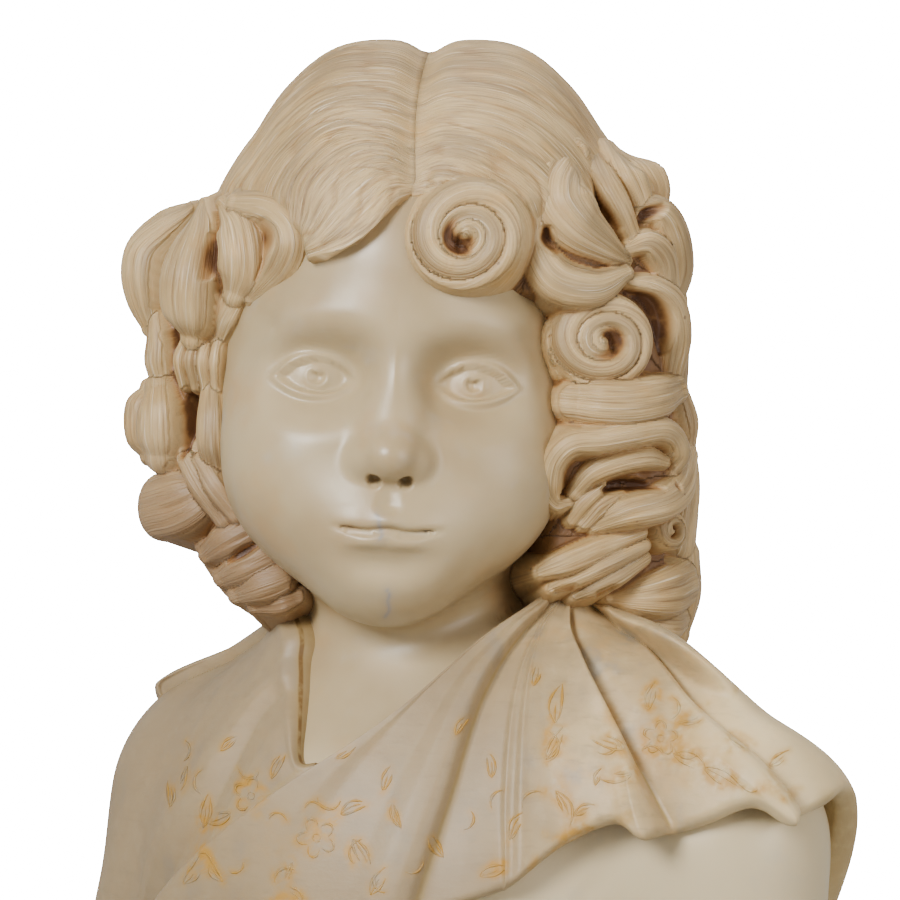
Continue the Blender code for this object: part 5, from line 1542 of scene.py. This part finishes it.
def backdrop(colour):
    """A round floor that curves up into a wall far behind: a profile turned about the upright axis. Its paint glows
    white beyond the bust's surroundings, and its light reaches the camera alone, so it doesn't fill the shadows."""
    bend = np.linspace(0.1, 1.57, 12)
    out = np.concatenate([np.linspace(0, 1.2, 13)[1:], np.linspace(1.6, 6, 8), 6 + 3 * np.sin(bend)])
    rise = np.concatenate([np.zeros(20), 3 * (1 - np.cos(bend))])
    out, rise = np.append(out, 9.0), np.append(rise, 14.0)
    turn = np.linspace(0, 2 * math.pi, 96, endpoint=False)[None]
    grid = np.stack([out[:, None] * np.cos(turn), out[:, None] * np.sin(turn), rise[:, None] + 0 * turn], -1)
    count = grid.shape[1]
    i, j = np.meshgrid(np.arange(len(out) - 1), np.arange(count), indexing="ij")
    j2 = (j + 1) % count
    quads = np.stack([i * count + j, (i + 1) * count + j, (i + 1) * count + j2, i * count + j2], -1).reshape(-1, 4)
    mesh = bpy.data.meshes.new("floor")
    mesh.from_pydata(grid.reshape(-1, 3).tolist(), [], quads.tolist() + [tuple(range(count))])
    mesh.shade_smooth()
    material = bpy.data.materials.new("floor_paint")
    material.use_nodes = True
    tree = material.node_tree
    paint = tree.nodes["Principled BSDF"]
    paint.inputs["Base Color"].default_value = colour
    paint.inputs["Roughness"].default_value = 0.8
    flat = node(tree, "ShaderNodeMapping", [("Vector", node(tree, "ShaderNodeTexCoord").outputs["Object"])])
    flat.inputs["Scale"].default_value = (1, 1, 0)
    away = node(tree, "ShaderNodeVectorMath", [(0, flat.outputs[0])], operation="LENGTH").outputs["Value"]
    glow = node(tree, "ShaderNodeEmission", Strength=GLOW)
    share = ramp(tree, away, 0.16, 0.42)
    mix = node(tree, "ShaderNodeMixShader", [(0, share), (1, paint.outputs[0]), (2, glow.outputs[0])])
    tree.links.new(mix.outputs[0], tree.nodes["Material Output"].inputs["Surface"])
    mesh.materials.append(material)
    floor = bpy.data.objects.new("floor", mesh)
    floor.visible_diffuse = floor.visible_glossy = floor.visible_transmission = floor.visible_shadow = False
    return floor


class BUST_OT_studio(bpy.types.Operator):
    """Sets the floor, the soft lights and the camera at the photo's place."""

    bl_idname = "bust.studio"
    bl_label = "Studio"

    def execute(self, context):
        sizes = context.scene.bust_studio
        x, y, z = (-7.8 - CENTRE[0]) * MM, -CENTRE[1] * MM, 194.55 * MM
        floor = backdrop(sizes.floor_colour)
        context.scene.collection.objects.link(floor)
        floor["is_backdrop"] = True
        camera = bpy.data.cameras.new("camera")
        camera.sensor_fit = "HORIZONTAL"
        camera.angle = 2 * math.atan(sizes.frame_width / 2 / sizes.distance)
        camera.clip_start, camera.clip_end = 0.05, 30
        view = bpy.data.objects.new("camera", camera)
        view.location = (x, y - sizes.distance, z)
        view.rotation_euler = (math.pi / 2, 0, 0)
        context.scene.collection.objects.link(view)
        context.scene.camera = view
        lamp("key", (-0.85, -1.5, 0.85), (0, 0, 0.18), 0.6, 46, "#FFFFFF")
        lamp("fill", (1.4, -1.3, 0.4), (0, 0, 0.15), 1.0, 17, "#FFFAF4")
        lamp("top", (0.1, 0.2, 1.6), (0, 0, 0.2), 0.9, 9, "#FFFFFF")
        world = bpy.data.worlds.new("studio")
        world.use_nodes = True
        background = world.node_tree.nodes["Background"]
        background.inputs["Color"].default_value = linear("#FBFAF8")
        background.inputs["Strength"].default_value = 0.5
        context.scene.world = world
        return {"FINISHED"}


OPERATORS = (
    BUST_OT_studio, BUST_OT_head, BUST_OT_crown, BUST_OT_hair, BUST_OT_torso, BUST_OT_collar,
)


class BUST_PT_panel(bpy.types.Panel):
    """Lists the bust's operators and sizes."""

    bl_label = "Carved Marble Bust"
    bl_idname = "BUST_PT_panel"
    bl_space_type = "VIEW_3D"
    bl_region_type = "UI"
    bl_category = "Bust"

    def draw(self, context):
        for group in (context.scene.bust_stone, context.scene.bust_studio):
            for name in group.__annotations__:
                self.layout.prop(group, name)
        for operator in OPERATORS:
            self.layout.operator(operator.bl_idname)


CLASSES = (StoneSizes, StudioSizes, *OPERATORS, BUST_PT_panel)


def register():
    """Makes the classes known to Blender."""
    for cls in CLASSES:
        bpy.utils.register_class(cls)
    bpy.types.Scene.bust_stone = PointerProperty(type=StoneSizes)
    bpy.types.Scene.bust_studio = PointerProperty(type=StudioSizes)


def unregister():
    """The opposite of register."""
    del bpy.types.Scene.bust_studio
    del bpy.types.Scene.bust_stone
    for cls in reversed(CLASSES):
        bpy.utils.unregister_class(cls)


def corners():
    """The lowest and highest corners of all that shows, as plain lists."""
    return [[float(c) for c in corner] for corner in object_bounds()]


def main():
    """Runs every operator in order."""
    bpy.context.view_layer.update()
    register()
    for operator in OPERATORS:
        group, name = operator.bl_idname.split(".")
        getattr(getattr(bpy.ops, group), name)()


if __name__ == "__main__":
    main()
